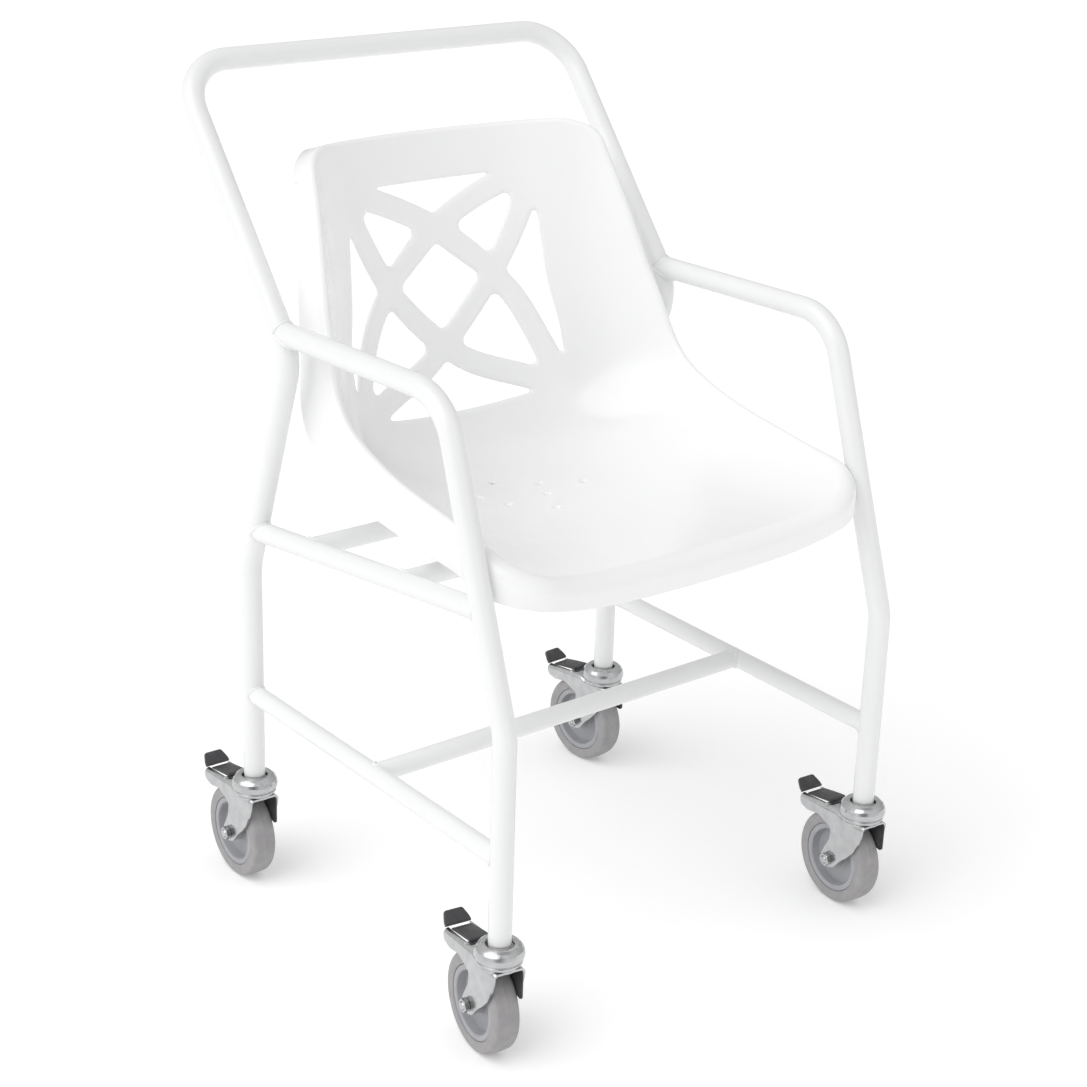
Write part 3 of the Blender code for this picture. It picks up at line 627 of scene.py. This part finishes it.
def on_shell(flat):
    return shell_point(flat[:, 0] / HALF_A, (flat[:, 1] / HALF_B + 1) / 2)


def unit(vectors):
    return vectors / np.linalg.norm(vectors, axis=1, keepdims=True)


def shell_axes(flat):
    """Points, the two directions that the flat axes take on the surface, and the surface normal."""
    step = 0.0002
    along_a = (on_shell(flat + (step, 0)) - on_shell(flat - (step, 0))) / (2 * step)
    along_b = (on_shell(flat + (0, step)) - on_shell(flat - (0, step))) / (2 * step)
    return on_shell(flat), along_a, along_b, unit(np.cross(along_a, along_b))


def border_loop():
    """The flat shell's rounded border, anticlockwise, with its outward normals."""
    points, normals = [], []
    inner_a, inner_b = HALF_A - CORNER_R, HALF_B - CORNER_R
    corners = ((inner_a, -inner_b, -90), (inner_a, inner_b, 0), (-inner_a, inner_b, 90),
               (-inner_a, -inner_b, 180))
    for index, (a, b, start) in enumerate(corners):
        for step in range(19):
            angle = math.radians(start + 90 * step / 18)
            normal = np.array((math.cos(angle), math.sin(angle)))
            points.append(np.array((a, b)) + CORNER_R * normal)
            normals.append(normal)
        after = np.array(corners[(index + 1) % 4][:2]) + CORNER_R * normals[-1]
        pieces = int(round(np.linalg.norm(after - points[-1]) / 0.005))
        begin = points[-1]
        for step in range(1, pieces):
            points.append(begin + (after - begin) * step / pieces)
            normals.append(normals[-1])
    return np.array(points), np.array(normals)


def ease(value, low, high):
    share = np.clip((value - low) / (high - low), 0, 1)
    return share * share * (3 - 2 * share)


def rim_rings(flat, outward):
    """Rings of points and normals from the border, over the roll, down the edge and back underneath."""
    place, along_a, along_b, normal = shell_axes(flat)
    run = unit(along_b * outward[:, :1] - along_a * outward[:, 1:])
    out = unit(np.cross(run, normal))
    share = (flat[:, 1] / HALF_B + 1) / 2
    lean = np.radians(EDGE_ANGLE(share)[:, 0])
    down = np.stack([0 * lean, np.sin(lean), -np.cos(lean)], axis=1)
    down = unit(down - run * np.sum(down * run, axis=1, keepdims=True))
    turn = np.arctan2(-np.sum(normal * down, axis=1), np.sum(out * down, axis=1))[:, None]
    radius = (0.0165 + (0.005 - 0.0165) * ease(share, 0.0, 0.11))[:, None]
    straight = np.maximum(EDGE_DEPTH(share) - radius * np.sin(turn), 0.002)
    skin = []
    for step in range(1, 13):
        angle = turn * step / 12
        skin.append((place + radius * (np.sin(angle) * out - (1 - np.cos(angle)) * normal),
                     np.cos(angle) * normal + np.sin(angle) * out))
    end, facing = skin[-1]
    for step in range(1, 5):
        skin.append((end + down * straight * step / 4, facing))
    tip = skin[-1][0] - facing * SHELL_T / 2
    rings = list(skin)
    for degrees in (30, 60, 90, 120, 150):
        angle = math.radians(degrees)
        heading = facing * math.cos(angle) + down * math.sin(angle)
        rings.append((tip + heading * SHELL_T / 2, heading))
    rings += [(points - facings * SHELL_T, -facings) for points, facings in reversed(skin)]
    return rings


def arc_route(points, steps=72):
    curve = natural(points)
    return [Vector(point) for point in curve(np.linspace(0, 1, steps + 1))]


def beside(route, offset):
    """The route moved sideways by the offset, to its left when positive."""
    made = []
    for index, here in enumerate(route):
        ahead = (route[min(index + 1, len(route) - 1)] - route[max(index - 1, 0)]).normalized()
        made.append(here + Vector((-ahead.y, ahead.x)) * offset)
    return made


def crossing(one, two, near):
    """Where two routes cross nearest a place: the point and the index of the segment on each."""
    found = []
    for i, (a, b) in enumerate(zip(one, one[1:])):
        for j, (c, d) in enumerate(zip(two, two[1:])):
            first, second = b - a, d - c
            size = first.cross(second)
            if abs(size) < 1e-12:
                continue
            t, u = (c - a).cross(second) / size, (c - a).cross(first) / size
            if 0 <= t <= 1 and 0 <= u <= 1:
                place = a + first * t
                found.append(((place - near).length, place, i, j))
    return min(found, key=lambda item: item[0])[1:]


def opening(sides, near, clearing=0.012):
    """The closed outline around a place, bounded by the routes taken in order around it, its corners rounded
    within the clearing kept straight on both sides of each."""
    near = Vector(near)
    count = len(sides)
    meets = [crossing(sides[index], sides[(index + 1) % count], near) for index in range(count)]
    outline = []
    for index, route in enumerate(sides):
        start, _, enter = meets[index - 1]
        end, leave, _ = meets[index]
        run = route[enter + 1:leave + 1] if leave >= enter else route[leave + 1:enter + 1][::-1]
        outline.append((*start, CORNER_FILLET))
        outline += [(*point, 0) for point in run
                    if (point - start).length > clearing and (point - end).length > clearing]
    return rounded(outline, 0, 8, room=0.9)


def back_openings():
    """The nine openings of the pierced back, in (x, z) before the chair's own shift."""
    top, bottom, waist = 0.605, 0.377, 0.0656
    upper = arc_route([(-0.13, 0.37), (-0.12, 0.406), (-0.098, 0.459), (-waist, 0.5025),
                       (0, 0.556), (0.0845, 0.5957), (0.125, 0.608)])
    lower = arc_route([(-0.145, 0.373), (-0.1, 0.39), (-0.048, 0.407), (0, 0.4345),
                       (waist, 0.5025), (0.1088, 0.582), (0.115, 0.61)])
    mirror = [[Vector((-p.x, p.y)) for p in route] for route in (upper, lower)]
    half = BAR_WIDTH / 2
    outer = {"upper": beside(upper, half), "upper_m": beside(mirror[0], -half),
             "lower": beside(lower, -half), "lower_m": beside(mirror[1], half)}
    inner = {"upper": beside(upper, -half), "upper_m": beside(mirror[0], half),
             "lower": beside(lower, half), "lower_m": beside(mirror[1], -half)}
    edge_top, edge_bottom = ([Vector((-HALF_A, z)), Vector((HALF_A, z))] for z in (top, bottom))
    edge_left = arc_route([(-0.1335, 0.35), (-0.1335, 0.4), (-0.1325, 0.445), (-0.1245, 0.49),
                           (-0.121, 0.53), (-0.1183, 0.565), (-0.1155, 0.615)], 36)
    left = [
        opening([edge_left, outer["upper"], outer["lower_m"]], (-0.11, 0.5)),
        opening([outer["upper"], inner["upper_m"], inner["lower_m"]], (-0.06, 0.56)),
        opening([inner["upper"], outer["lower_m"], inner["lower"]], (-0.07, 0.44)),
    ]
    middle = [
        opening([edge_top, outer["upper"], outer["upper_m"]], (0, 0.6), 0.006),
        opening([edge_bottom, outer["lower_m"], outer["lower"]], (0, 0.39)),
        rounded(DIAMOND, CORNER_FILLET, 8),
    ]
    return left + middle + [[(-x, z) for x, z in outline] for outline in left]


def laid_flat(outline):
    """An outline of the back, given in (x, z), moved to the flat shell by halving the interval in along."""
    wanted = np.asarray(outline, float)
    low, high = np.full(len(wanted), 0.35), np.full(len(wanted), 1.0)
    for _ in range(36):
        along = (low + high) / 2
        across = wanted[:, 0] / RIM(along)[:, 0]
        under = shell_point(across, along)[:, 2] - FLOOR_LIFT < wanted[:, 1]
        low, high = np.where(under, along, low), np.where(under, high, along)
    return np.stack([across * HALF_A, (2 * along - 1) * HALF_B], axis=1)


def spaced(loop, spacing):
    """A closed loop's points moved to even spacing along it."""
    closed = np.vstack([loop, loop[:1]])
    lengths = np.concatenate([[0], np.cumsum(np.linalg.norm(np.diff(closed, axis=0), axis=1))])
    places = np.linspace(0, lengths[-1], max(int(lengths[-1] / spacing), 12), endpoint=False)
    return np.stack([np.interp(places, lengths, closed[:, k]) for k in (0, 1)], axis=1)


def away(loop):
    """Unit directions out of a closed loop's inside."""
    run = np.roll(loop, -1, axis=0) - np.roll(loop, 1, axis=0)
    area = np.sum(loop[:, 0] * np.roll(loop[:, 1], -1) - np.roll(loop[:, 0], -1) * loop[:, 1])
    return unit(np.stack([run[:, 1], -run[:, 0]], axis=1)) * (1 if area > 0 else -1)


def inside(points, loop):
    """Which points are inside a closed loop."""
    hit = np.zeros(len(points), bool)
    for (ax, ay), (bx, by) in zip(loop, np.roll(loop, -1, axis=0)):
        if ay != by:
            spans = (points[:, 1] > min(ay, by)) & (points[:, 1] <= max(ay, by))
            hit ^= spans & (points[:, 0] < ax + (points[:, 1] - ay) * (bx - ax) / (by - ay))
    return hit


def flat_holes():
    """Every hole of the flat shell as (loop, width of its rounding, depth of its rounding)."""
    holes = [(spaced(laid_flat(outline), 0.0022), BAR_ROLL, BAR_T / 2) for outline in back_openings()]
    for x, y in DRAIN_HOLES:
        shares = np.linspace(0, 0.5, 400)
        along = shares[np.argmin(np.abs(MIDDLE(shares)[:, 0] - y))]
        centre = np.array((x / RIM(along)[0, 0] * HALF_A, (2 * along - 1) * HALF_B))
        angles = np.linspace(0, 2 * math.pi, 24, endpoint=False)
        loop = centre + DRAIN_R * np.stack([np.cos(angles), np.sin(angles)], axis=1)
        holes.append((loop, SHELL_T / 2, SHELL_T / 2))
    return holes


def build_seat_shell():
    """One closed moulding: a flat layout with holes, laid on the curved surface and given two skins."""
    border, outward = border_loop()
    count = len(border)
    flat, links = [border], [(i, (i + 1) % count) for i in range(count)]
    whole = (0.0, 0.0, 1.0, 0.0, 0.0)       # in-plane lean, depth share, then the rounding's width and depth
    data = [np.tile(whole, (count, 1))]
    total = count
    holes = flat_holes()
    for loop, width, depth in holes:
        leave = away(loop)
        for angle in np.radians((0, 12, 26, 42, 62, 90)):
            flat.append(loop + leave * width * (1 - math.cos(angle)))
            data.append(np.column_stack([-leave * math.cos(angle), np.full(len(loop), math.sin(angle)),
                                         np.full(len(loop), width), np.full(len(loop), depth)]))
            links += [(total + i, total + (i + 1) % len(loop)) for i in range(len(loop))]
            total += len(loop)
    rings = np.vstack(flat)
    spacing, clear = 0.0065, 0.0036         # of the inner points, and how far they stay from every loop
    columns, rows = np.arange(-HALF_A, HALF_A, spacing), np.arange(-HALF_B, HALF_B, spacing)
    grid = np.stack(np.meshgrid(columns, rows), axis=-1)
    grid = grid.reshape(-1, 2) + spacing * 0.37
    keep = inside(grid, border)
    for loop, _, _ in holes:
        keep &= ~inside(grid, loop)
    grid = grid[keep]
    nearest = np.array([np.min(np.sum((rings - point) ** 2, axis=1)) for point in grid])
    grid = grid[nearest > clear ** 2]
    flat = np.vstack([rings, grid])
    data = np.vstack([*data, np.tile(whole, (len(grid), 1))])
    drawn = delaunay_2d_cdt([Vector(point) for point in flat], links, [], 0, 1e-7)
    source = np.array([first[0] for first in drawn[3]])
    flat, data = flat[source], data[source]
    lean, share, width, depth = data[:, :2], data[:, 2], data[:, 3], data[:, 4]
    faces = np.array(drawn[2])
    middles = flat[faces].mean(axis=1)
    keep = inside(middles, border)
    for loop, _, _ in holes:
        keep &= ~inside(middles, loop)
    faces = faces[keep]

    place, along_a, along_b, normal = shell_axes(flat)
    lattice = np.vstack([loop for loop, _, rounding in holes if rounding == BAR_T / 2])
    reach = np.sqrt([np.min(np.sum((lattice - point) ** 2, axis=1)) for point in flat])
    thick = SHELL_T + (BAR_T - SHELL_T) * (1 - ease(reach, BAR_ROLL, 0.015))
    thick = np.where(depth == SHELL_T / 2, SHELL_T, thick)
    sunk = depth * (1 - share)
    heading = along_a * lean[:, :1] + along_b * lean[:, 1:]
    heading -= normal * np.sum(heading * normal, axis=1, keepdims=True)
    size = np.linalg.norm(heading, axis=1, keepdims=True)
    heading = heading / np.where(size > 0, size, 1) * (np.sqrt(1 - share ** 2) * depth)[:, None]
    straight = np.where(width > 0, width * share, 1.0)[:, None] * normal
    top_points = place - normal * sunk[:, None]
    low_points = place - normal * (thick - sunk)[:, None]

    low_index = np.arange(len(flat)) + len(flat)
    low_index[share == 0] = np.nonzero(share == 0)[0]
    points, normals = [top_points, low_points], [unit(heading + straight), unit(heading - straight)]
    all_faces = [tuple(face) for face in faces] + [tuple(low_index[face[::-1]]) for face in faces]
    back = {int(first): index for index, first in enumerate(source)}
    first_ring = [back[i] for i in range(count)]
    last_ring = [int(low_index[i]) for i in first_ring]
    start = 2 * len(flat)
    chain = [first_ring]
    for ring_points, ring_normals in rim_rings(border, outward):
        points.append(ring_points)
        normals.append(ring_normals)
        chain.append(list(range(start, start + count)))
        start += count
    chain.append(last_ring)
    for one, two in zip(chain, chain[1:]):
        all_faces += [(one[(i + 1) % count], one[i], two[i], two[(i + 1) % count]) for i in range(count)]
    points, normals = np.vstack(points), unit(np.vstack(normals))
    used = np.unique(np.concatenate([np.array(face) for face in all_faces]))
    renumber = np.full(len(points), -1)
    renumber[used] = np.arange(len(used))
    mesh = mesh_of(points[used], [tuple(int(renumber[i]) for i in face) for face in all_faces])
    mesh.polygons.foreach_set("use_smooth", [True] * len(mesh.polygons))
    mesh.normals_split_custom_set_from_vertices([tuple(normal) for normal in normals[used]])
    shown("seat_shell_shown", mesh, "frame", "white_plastic", ["seat_shell"])


# ==== Castors

def lever_top(y):
    return -0.0125 - (y - 0.04) * 0.16


LEVER_T = 0.0022
PEDAL_BEND = Vector((0.0808, lever_top(0.0808)))
PEDAL_LEAN = math.radians(38)


def softened(profile, radius=0.0006, steps=3):
    """An open run of (radius, height) points with each inner corner rounded a little."""
    corners = [Vector(point) for point in profile]
    made = [tuple(corners[0])]
    for before, here, after in zip(corners, corners[1:], corners[2:]):
        made += [tuple(point) for point in arc_points(here, before - here, after - here, radius, steps)]
    return made + [tuple(corners[-1])]


def channel():
    """An inverted U with rounded shoulders, its top sloping along the brake housing."""
    shoulder, foot = 0.0055, -0.09

    def half_section(top, inset):
        half, radius = FORK_HALF - inset, shoulder - inset
        arc = [(half - radius * (1 - math.cos(a)), top - inset - radius * (1 - math.sin(a)))
               for a in np.linspace(0, math.pi / 2, 7)]
        return [(half, foot)] + arc

    sections = []
    for y, top in ((-0.022, -0.0152), (0.013, -0.0152), (0.017, -0.0142), (0.0225, -0.0122),
                   (0.08, -0.0174)):
        outside, under = half_section(top, 0), half_section(top, PLATE_T)
        left = [(-x, z) for x, z in reversed(outside)]
        under_left = [(-x, z) for x, z in under]
        sections.append([(x, y, z) for x, z in outside + left + under_left + under[::-1]])
    count = len(sections[0])
    points = [point for section in sections for point in section]
    faces = []
    for row in range(len(sections) - 1):
        for k in range(count):
            after = (k + 1) % count
            here, ahead = row * count, (row + 1) * count
            faces.append((here + k, here + after, ahead + after, ahead + k))
    faces.append(tuple(range(count))[::-1])
    faces.append(tuple(range((len(sections) - 1) * count, len(sections) * count)))
    return smoothed(mesh_of(points, faces))


def fork_mesh():
    """The pressed fork: crown, two cheeks that reach back as the brake's housing, open over the pedal."""
    side_view = rounded([
        (-0.02, -0.012), (-0.02, -0.016), (-0.019, -0.025), (-0.0145, -0.038),
        (-0.009, -0.049), (0.0000, -0.059), (0.01, -0.068), (0.019, -0.079, 0.006),
        (0.0285, -0.083, 0.008), (0.0385, -0.078, 0.006), (0.0385, -0.069, 0.004), (0.035, -0.062, 0.006),
        (0.0285, -0.05, 0.01), (0.027, -0.036, 0.006), (0.048, -0.0285, 0.008), (0.065, -0.0312, 0.004),
        (0.0775, -0.0282, 0.006), (0.0785, -0.0175, 0.001), (0.0785, -0.01, 0.001), (0.022, -0.01, 0.001),
    ], 0.004)
    pressed = combined(channel(), [plate(side_view, 0.06, 0.0002)], "INTERSECT")
    fine, past_end = 0.0001, 0.09
    window = plate([(0.0365, -0.005), (0.0365, -0.0205), (past_end, -0.029), (past_end, -0.005)],
                   0.0226, fine)
    under = plate([(0.0355, -0.015), (0.0355, -0.04), (past_end, -0.04), (past_end, -0.0215)],
                  2 * (FORK_HALF - PLATE_T) - fine, fine)
    hole = lathe([(0, -0.03), (0.0044, -0.03), (0.0044, 0.03), (0, 0.03)], 24, "X")
    moved(hole, (0, TRAIL, -AXLE_DROP))
    pressed = combined(pressed, [window, under, hole], "DIFFERENCE")
    crown = lathe(softened([(0, -0.0153), (0.0205, -0.0153), (0.0205, -0.0181), (0, -0.0181)], 0.001))
    return combined(pressed, [crown], "UNION", bevel=0.0004)


def wheel_lathe(right, middle, steps):
    """A wheel piece from the right half of its profile; the points before the middle aren't mirrored."""
    left = [(radius, -height) for radius, height in reversed(right[middle:-1])]
    return lathe(right + left + [right[0]], steps, "X")


def tyre_mesh():
    """The tyre: flat sides round the hub's rim, small shoulders, a nearly flat tread with a mould line."""
    half, shoulder = TREAD_HALF, 0.004
    side = softened([(HUB_R + 0.0003, 0), (HUB_R + 0.0003, half * 0.96), (0.0384, half * 0.99),
                     (0.044, half), (0.0452, half)], 0.0005)
    crown = [(WHEEL_R - 0.0004 - shoulder * (1 - math.cos(a)), half - shoulder * (1 - math.sin(a)))
             for a in np.linspace(math.pi / 2, 0.0, 9)]
    crown += [(WHEEL_R, half * 0.35), (WHEEL_R, half * 0.03), (WHEEL_R + 0.00015, 0)]
    return wheel_lathe(side + crown, 1, 112)


def hub_mesh():
    """The hub: a flat light rim round a deep recess on both sides, a web and a boss on the axle."""
    half = TREAD_HALF
    face, floor, boss = half * 0.93, half * 0.2, half * 1.05
    right = softened([
        (0.0046, boss), (0.0098, boss), (0.0116, floor + 0.001), (0.015, floor), (0.0296, floor),
        (0.031, face - 0.001), (0.032, face), (HUB_R, face), (HUB_R, 0),
    ], 0.0008)
    return wheel_lathe(right, 0, 96)


def cup_mesh():
    profile = [
        (0.0124, -0.0042), (0.013, 0.0034), (0.014, 0.005), (0.0156, 0.0056), (0.0178, 0.005),
        (0.0205, 0.0032), (0.0228, 0.0004), (0.0239, -0.003), (0.024, -0.0062), (0.0234, -0.0086),
        (0.0222, -0.0098), (0.0214, -0.0102), (0.0214, -0.0108), (0.0222, -0.0112), (0.0224, -0.0126),
        (0.022, -0.0142), (0.0205, -0.0148), (0.0062, -0.0148), (0.0062, -0.0042), (0.0124, -0.0042),
    ]
    return lathe(softened(profile, 0.0012, 3)[:-1] + [profile[0]], 96)


def stem_mesh():
    end = LEG_END_Z - FLOOR_LIFT
    profile = [
        (0, end + 0.002), (0.009, end + 0.002), (0.009, end - 0.0003), (0.0106, end - 0.0003),
        (0.0106, end - 0.003), (0.0095, end - 0.0062), (0.0059, end - 0.0062), (0.0059, -0.0147),
        (0, -0.0147),
    ]
    return lathe(softened(profile, 0.0004, 2), 64)


def bolt_mesh():
    """The axle bolt: a low domed head on one cheek and a threaded end through the nut on the other."""
    head, shank, turns = FORK_HALF + 0.0003, 0.004, 5
    profile = [(0, head + 0.0046), (0.003, head + 0.0043), (0.0056, head + 0.003), (0.007, head + 0.001),
               (0.0071, head), (shank, head), (shank, -FORK_HALF)]
    pitch = 0.00125
    for turn in range(turns):
        start = -FORK_HALF - pitch * turn
        profile += [(shank, start - pitch * 0.25), (shank - 0.0005, start - pitch * 0.75)]
    end = -FORK_HALF - pitch * turns
    profile += [(shank - 0.0008, end), (0, end - 0.0002)]
    return lathe(profile, 40, "X")


def nut_mesh():
    """A chamfered hexagon nut."""
    half, corners, bore = 0.0026, 0.0072, 0.0044

    def circle(radius, angles):
        return [(radius * math.cos(a), radius * math.sin(a)) for a in angles]

    body = plate(circle(corners, [math.radians(60 * k + 8) for k in range(6)]), 2 * half, 0.0001,
                 [circle(bore, np.linspace(0, 2 * math.pi, 24, endpoint=False))])
    right = [(0, half), (0.0062, half), (0.0078, half - 0.0011)]
    chamfer = lathe(right + [(radius, -height) for radius, height in reversed(right)], 48, "X")
    mesh = combined(body, [chamfer], "INTERSECT")
    return moved(mesh, (-FORK_HALF - 0.0003 - half, 0, 0))


def lever_mesh():
    """The pressed lever: a narrow blade inside the housing, its end turned up and widened under the tab."""
    rise = Vector((math.cos(PEDAL_LEAN), math.sin(PEDAL_LEAN)))
    under = Vector((rise.y, -rise.x)) * LEVER_T
    bend_y, bend_z = PEDAL_BEND
    tip = PEDAL_BEND + rise * 0.012
    front, edge = 0.0404, 0.0004
    bend = [(bend_y, bend_z, edge)]
    heel = [(bend_y + 0.0009, bend_z - LEVER_T, 0.001)]
    blade = [(front, lever_top(front)), (front, lever_top(front) - LEVER_T)] + heel + bend
    leaf = [(bend_y - 0.001, bend_z + 0.00015), (bend_y - 0.0006, bend_z - LEVER_T)] + heel
    leaf += [tuple(tip + under), tuple(tip)] + bend
    blade = plate(rounded(blade, 0.0003, 3), 0.0216, edge)
    leaf = plate(rounded(leaf, 0.0003, 3), 0.0272, edge)
    pivot = moved(lathe([(0, -0.0142), (0.0022, -0.0142), (0.0022, 0.0142), (0, 0.0142)], 24, "X"),
                  (0, 0.0395, lever_top(0.0395) - LEVER_T))
    return combined(blade, [leaf, pivot], "UNION")


def pad_mesh():
    """The black tread of the pedal, slightly crowned, with a thick front lip."""
    lifts = (
        (0.0399, -0.0034, 0.0006), (0.0399, 0.0003, 0.0002), (0.0738, 0.0003, 0.0003),
        (0.0732, 0.0022, 0.0007), (0.056, 0.003, 0), (0.044, 0.0032, 0), (0.0392, 0.003, 0.001),
        (0.0376, 0.0016, 0.001), (0.0376, -0.0034, 0.0006),
    )
    side = rounded([(y, lever_top(y) + lift, own) for y, lift, own in lifts], 0, 4)
    return plate(side, 0.0218, 0.0007)


def tab_mesh():
    """The moulded tip that stands up behind the pad, narrower at its top."""
    outline = rounded([(-0.014, 0.0), (0.014, 0.0), (0.0134, 0.005, 0.003), (0.0098, 0.0152, 0.003),
                       (-0.0098, 0.0152, 0.003), (-0.0134, 0.005, 0.003)], 0.0008, 6)
    thickness = 0.0038
    mesh = plate(outline, thickness, 0.0009)
    along = Vector((0, math.cos(PEDAL_LEAN), math.sin(PEDAL_LEAN)))
    out = Vector((0, -math.sin(PEDAL_LEAN), math.cos(PEDAL_LEAN)))
    foot = Vector((0, *PEDAL_BEND)) + along * 0.0004 + out * (thickness / 2 + 0.0003)
    columns = Matrix((out, Vector((1, 0, 0)), along)).transposed().to_4x4()
    mesh.transform(Matrix.Translation(foot) @ columns)
    return smoothed(mesh)


def guard_mesh():
    outline = rounded([(-0.0211, -0.0188), (-0.0208, -0.0478), (-0.0165, -0.0503), (-0.01, -0.049),
                       (0.006, -0.036), (0.006, -0.0188)], 0.003)
    return moved(plate(outline, 0.0014, 0.0005), (FORK_HALF - PLATE_T - 0.001, 0, 0))


def build_castors():
    """Every castor from one set of meshes, placed by its swivel and wheel joints."""
    axle = (0, TRAIL, -AXLE_DROP)
    moulds = (
        ("stem", stem_mesh(), "natural_nylon", "frame"),
        ("swivel_cup", cup_mesh(), "zinc_plate", "frame"),
        ("fork", fork_mesh(), "zinc_plate", "swivel"),
        ("thread_guard", guard_mesh(), "black_plastic", "swivel"),
        ("axle_bolt", moved(bolt_mesh(), axle), "zinc_plate", "swivel"),
        ("axle_nut", moved(nut_mesh(), axle), "zinc_plate", "swivel"),
        ("hub", moved(hub_mesh(), axle), "grey_hub_plastic", "wheel"),
        ("tyre", moved(tyre_mesh(), axle), "grey_rubber", "wheel"),
        ("pedal_lever", lever_mesh(), "zinc_plate", "pedal"),
        ("pedal_pad", pad_mesh(), "black_plastic", "pedal"),
        ("pedal_tab", tab_mesh(), "black_plastic", "pedal"),
    )
    joints = {joint["name"]: joint for joint in frame["joints"]}
    for castor in CASTORS:
        stem = joints[castor + "_swivel_turn"]["pos_m"]
        along = Vector(joints[castor + "_wheel_spin"]["axis"])
        up = Vector((0, 0, 1))
        turned = Matrix((along, up.cross(along), up)).transposed().to_4x4()
        placed = Matrix.Translation((stem[0], stem[1], FLOOR_LIFT)) @ turned
        for piece, mould, slot, body in moulds:
            mesh = mould.copy()
            mesh.transform(placed)
            owner = "frame" if body == "frame" else f"{castor}_{body}"
            shown(f"{castor}_{piece}_shown", mesh, owner, slot, [f"{castor}_{piece}"])


# ==== Kept nodes, stage and camera

def dress_kept_nodes():
    """The hidden saddles keep their solids, with their own look and softened edges."""
    for name in ("rear_seat_saddle", "front_seat_saddle"):
        node = frame["nodes"][name]
        node.data.materials.clear()
        node.data.materials.append(LOOKS["natural_nylon"])
        edges = node.modifiers.new("edges", "BEVEL")
        edges.width = 0.0008
        edges.segments = 2


def floor_look():
    made, _, shader, _, _ = toned("pale_floor", (1.5, 4.0), (0.3, 0.7),
                                  ((0.94, 0.94, 0.94), (0.95, 0.95, 0.95)))
    shader.inputs["Roughness"].default_value = 0.9
    shader.inputs["Specular IOR Level"].default_value = 0.1
    shader.inputs["Emission Color"].default_value = (1.0, 1.0, 1.0, 1.0)
    shader.inputs["Emission Strength"].default_value = 0.16
    return made


def build_stage():
    half = 30.0
    mesh = mesh_of([(-half, -half, 0), (half, -half, 0), (half, half, 0), (-half, half, 0)], [(0, 1, 2, 3)])
    mesh.materials.append(floor_look())
    floor = bpy.data.objects.new("floor", mesh)
    bpy.context.scene.collection.objects.link(floor)


def facing(tree, towards):
    """How far a direction of the surroundings points towards another: 1 along it, -1 against it."""
    place = tree.nodes.new("ShaderNodeTexCoord")
    node = tree.nodes.new("ShaderNodeVectorMath")
    node.operation = "DOT_PRODUCT"
    node.inputs[1].default_value = Vector(towards).normalized()
    tree.links.new(place.outputs["Generated"], node.inputs[0])
    return node.outputs["Value"]


def light_scene():
    """A white studio: brightest from the left, with a dim ceiling and a dim gap where the camera stands."""
    world = bpy.data.worlds.new("studio")
    world.use_nodes = True
    tree = world.node_tree
    strength = spread(tree, facing(tree, (-0.75, -0.45, 0.48)), -1.0, 1.0, 0.46, 1.02)
    for towards, low, high, dim in (((-0.58, -0.71, 0.4), 0.86, 0.96, 0.25), ((0, 0, 1), 0.82, 0.95, 0.6)):
        product = tree.nodes.new("ShaderNodeMath")
        product.operation = "MULTIPLY"
        tree.links.new(strength, product.inputs[0])
        tree.links.new(spread(tree, facing(tree, towards), low, high, 1.0, dim), product.inputs[1])
        strength = product.outputs["Value"]
    background = tree.nodes["Background"]
    background.inputs["Color"].default_value = (1.0, 1.0, 1.0, 1.0)
    tree.links.new(strength, background.inputs["Strength"])
    bpy.context.scene.world = world
    lamp = bpy.data.lights.new("key", "SUN")
    lamp.energy = 1.12
    lamp.angle = math.radians(60)
    key = bpy.data.objects.new("key", lamp)
    bpy.context.scene.collection.objects.link(key)
    key.rotation_mode = "QUATERNION"
    key.rotation_quaternion = Vector((0.64, 0.04, -0.76)).to_track_quat("-Z", "Y")
    bpy.context.scene.view_settings.view_transform = "Standard"
    bpy.context.scene.view_settings.look = "None"
    bpy.context.scene.view_settings.exposure = 0.0


def build_camera():
    """The camera stands in front of the chair on its right, above the arm rests, looking down at it."""
    turn, tilt, roll = 0.690016, 0.369018, 0.0312501
    ahead = Vector((math.sin(turn) * math.cos(tilt), math.cos(turn) * math.cos(tilt), -math.sin(tilt)))
    right = Vector((math.cos(turn), -math.sin(turn), 0))
    up = right.cross(ahead)
    rolled_right = right * math.cos(roll) + up * math.sin(roll)
    rolled_up = up * math.cos(roll) - right * math.sin(roll)
    data = bpy.data.cameras.new("camera")
    data.lens = 75.62
    data.sensor_width = 36.0
    data.clip_end = 100.0
    camera = bpy.data.objects.new("camera", data)
    bpy.context.scene.collection.objects.link(camera)
    turned = Matrix((rolled_right, rolled_up, -ahead)).transposed().to_4x4()
    camera.matrix_world = Matrix.Translation((-1.38064, -1.68804, 1.228)) @ turned
    bpy.context.scene.camera = camera


build_frame()
build_cross_bars()
build_seat_shell()
build_castors()
dress_kept_nodes()
build_stage()
light_scene()
build_camera()
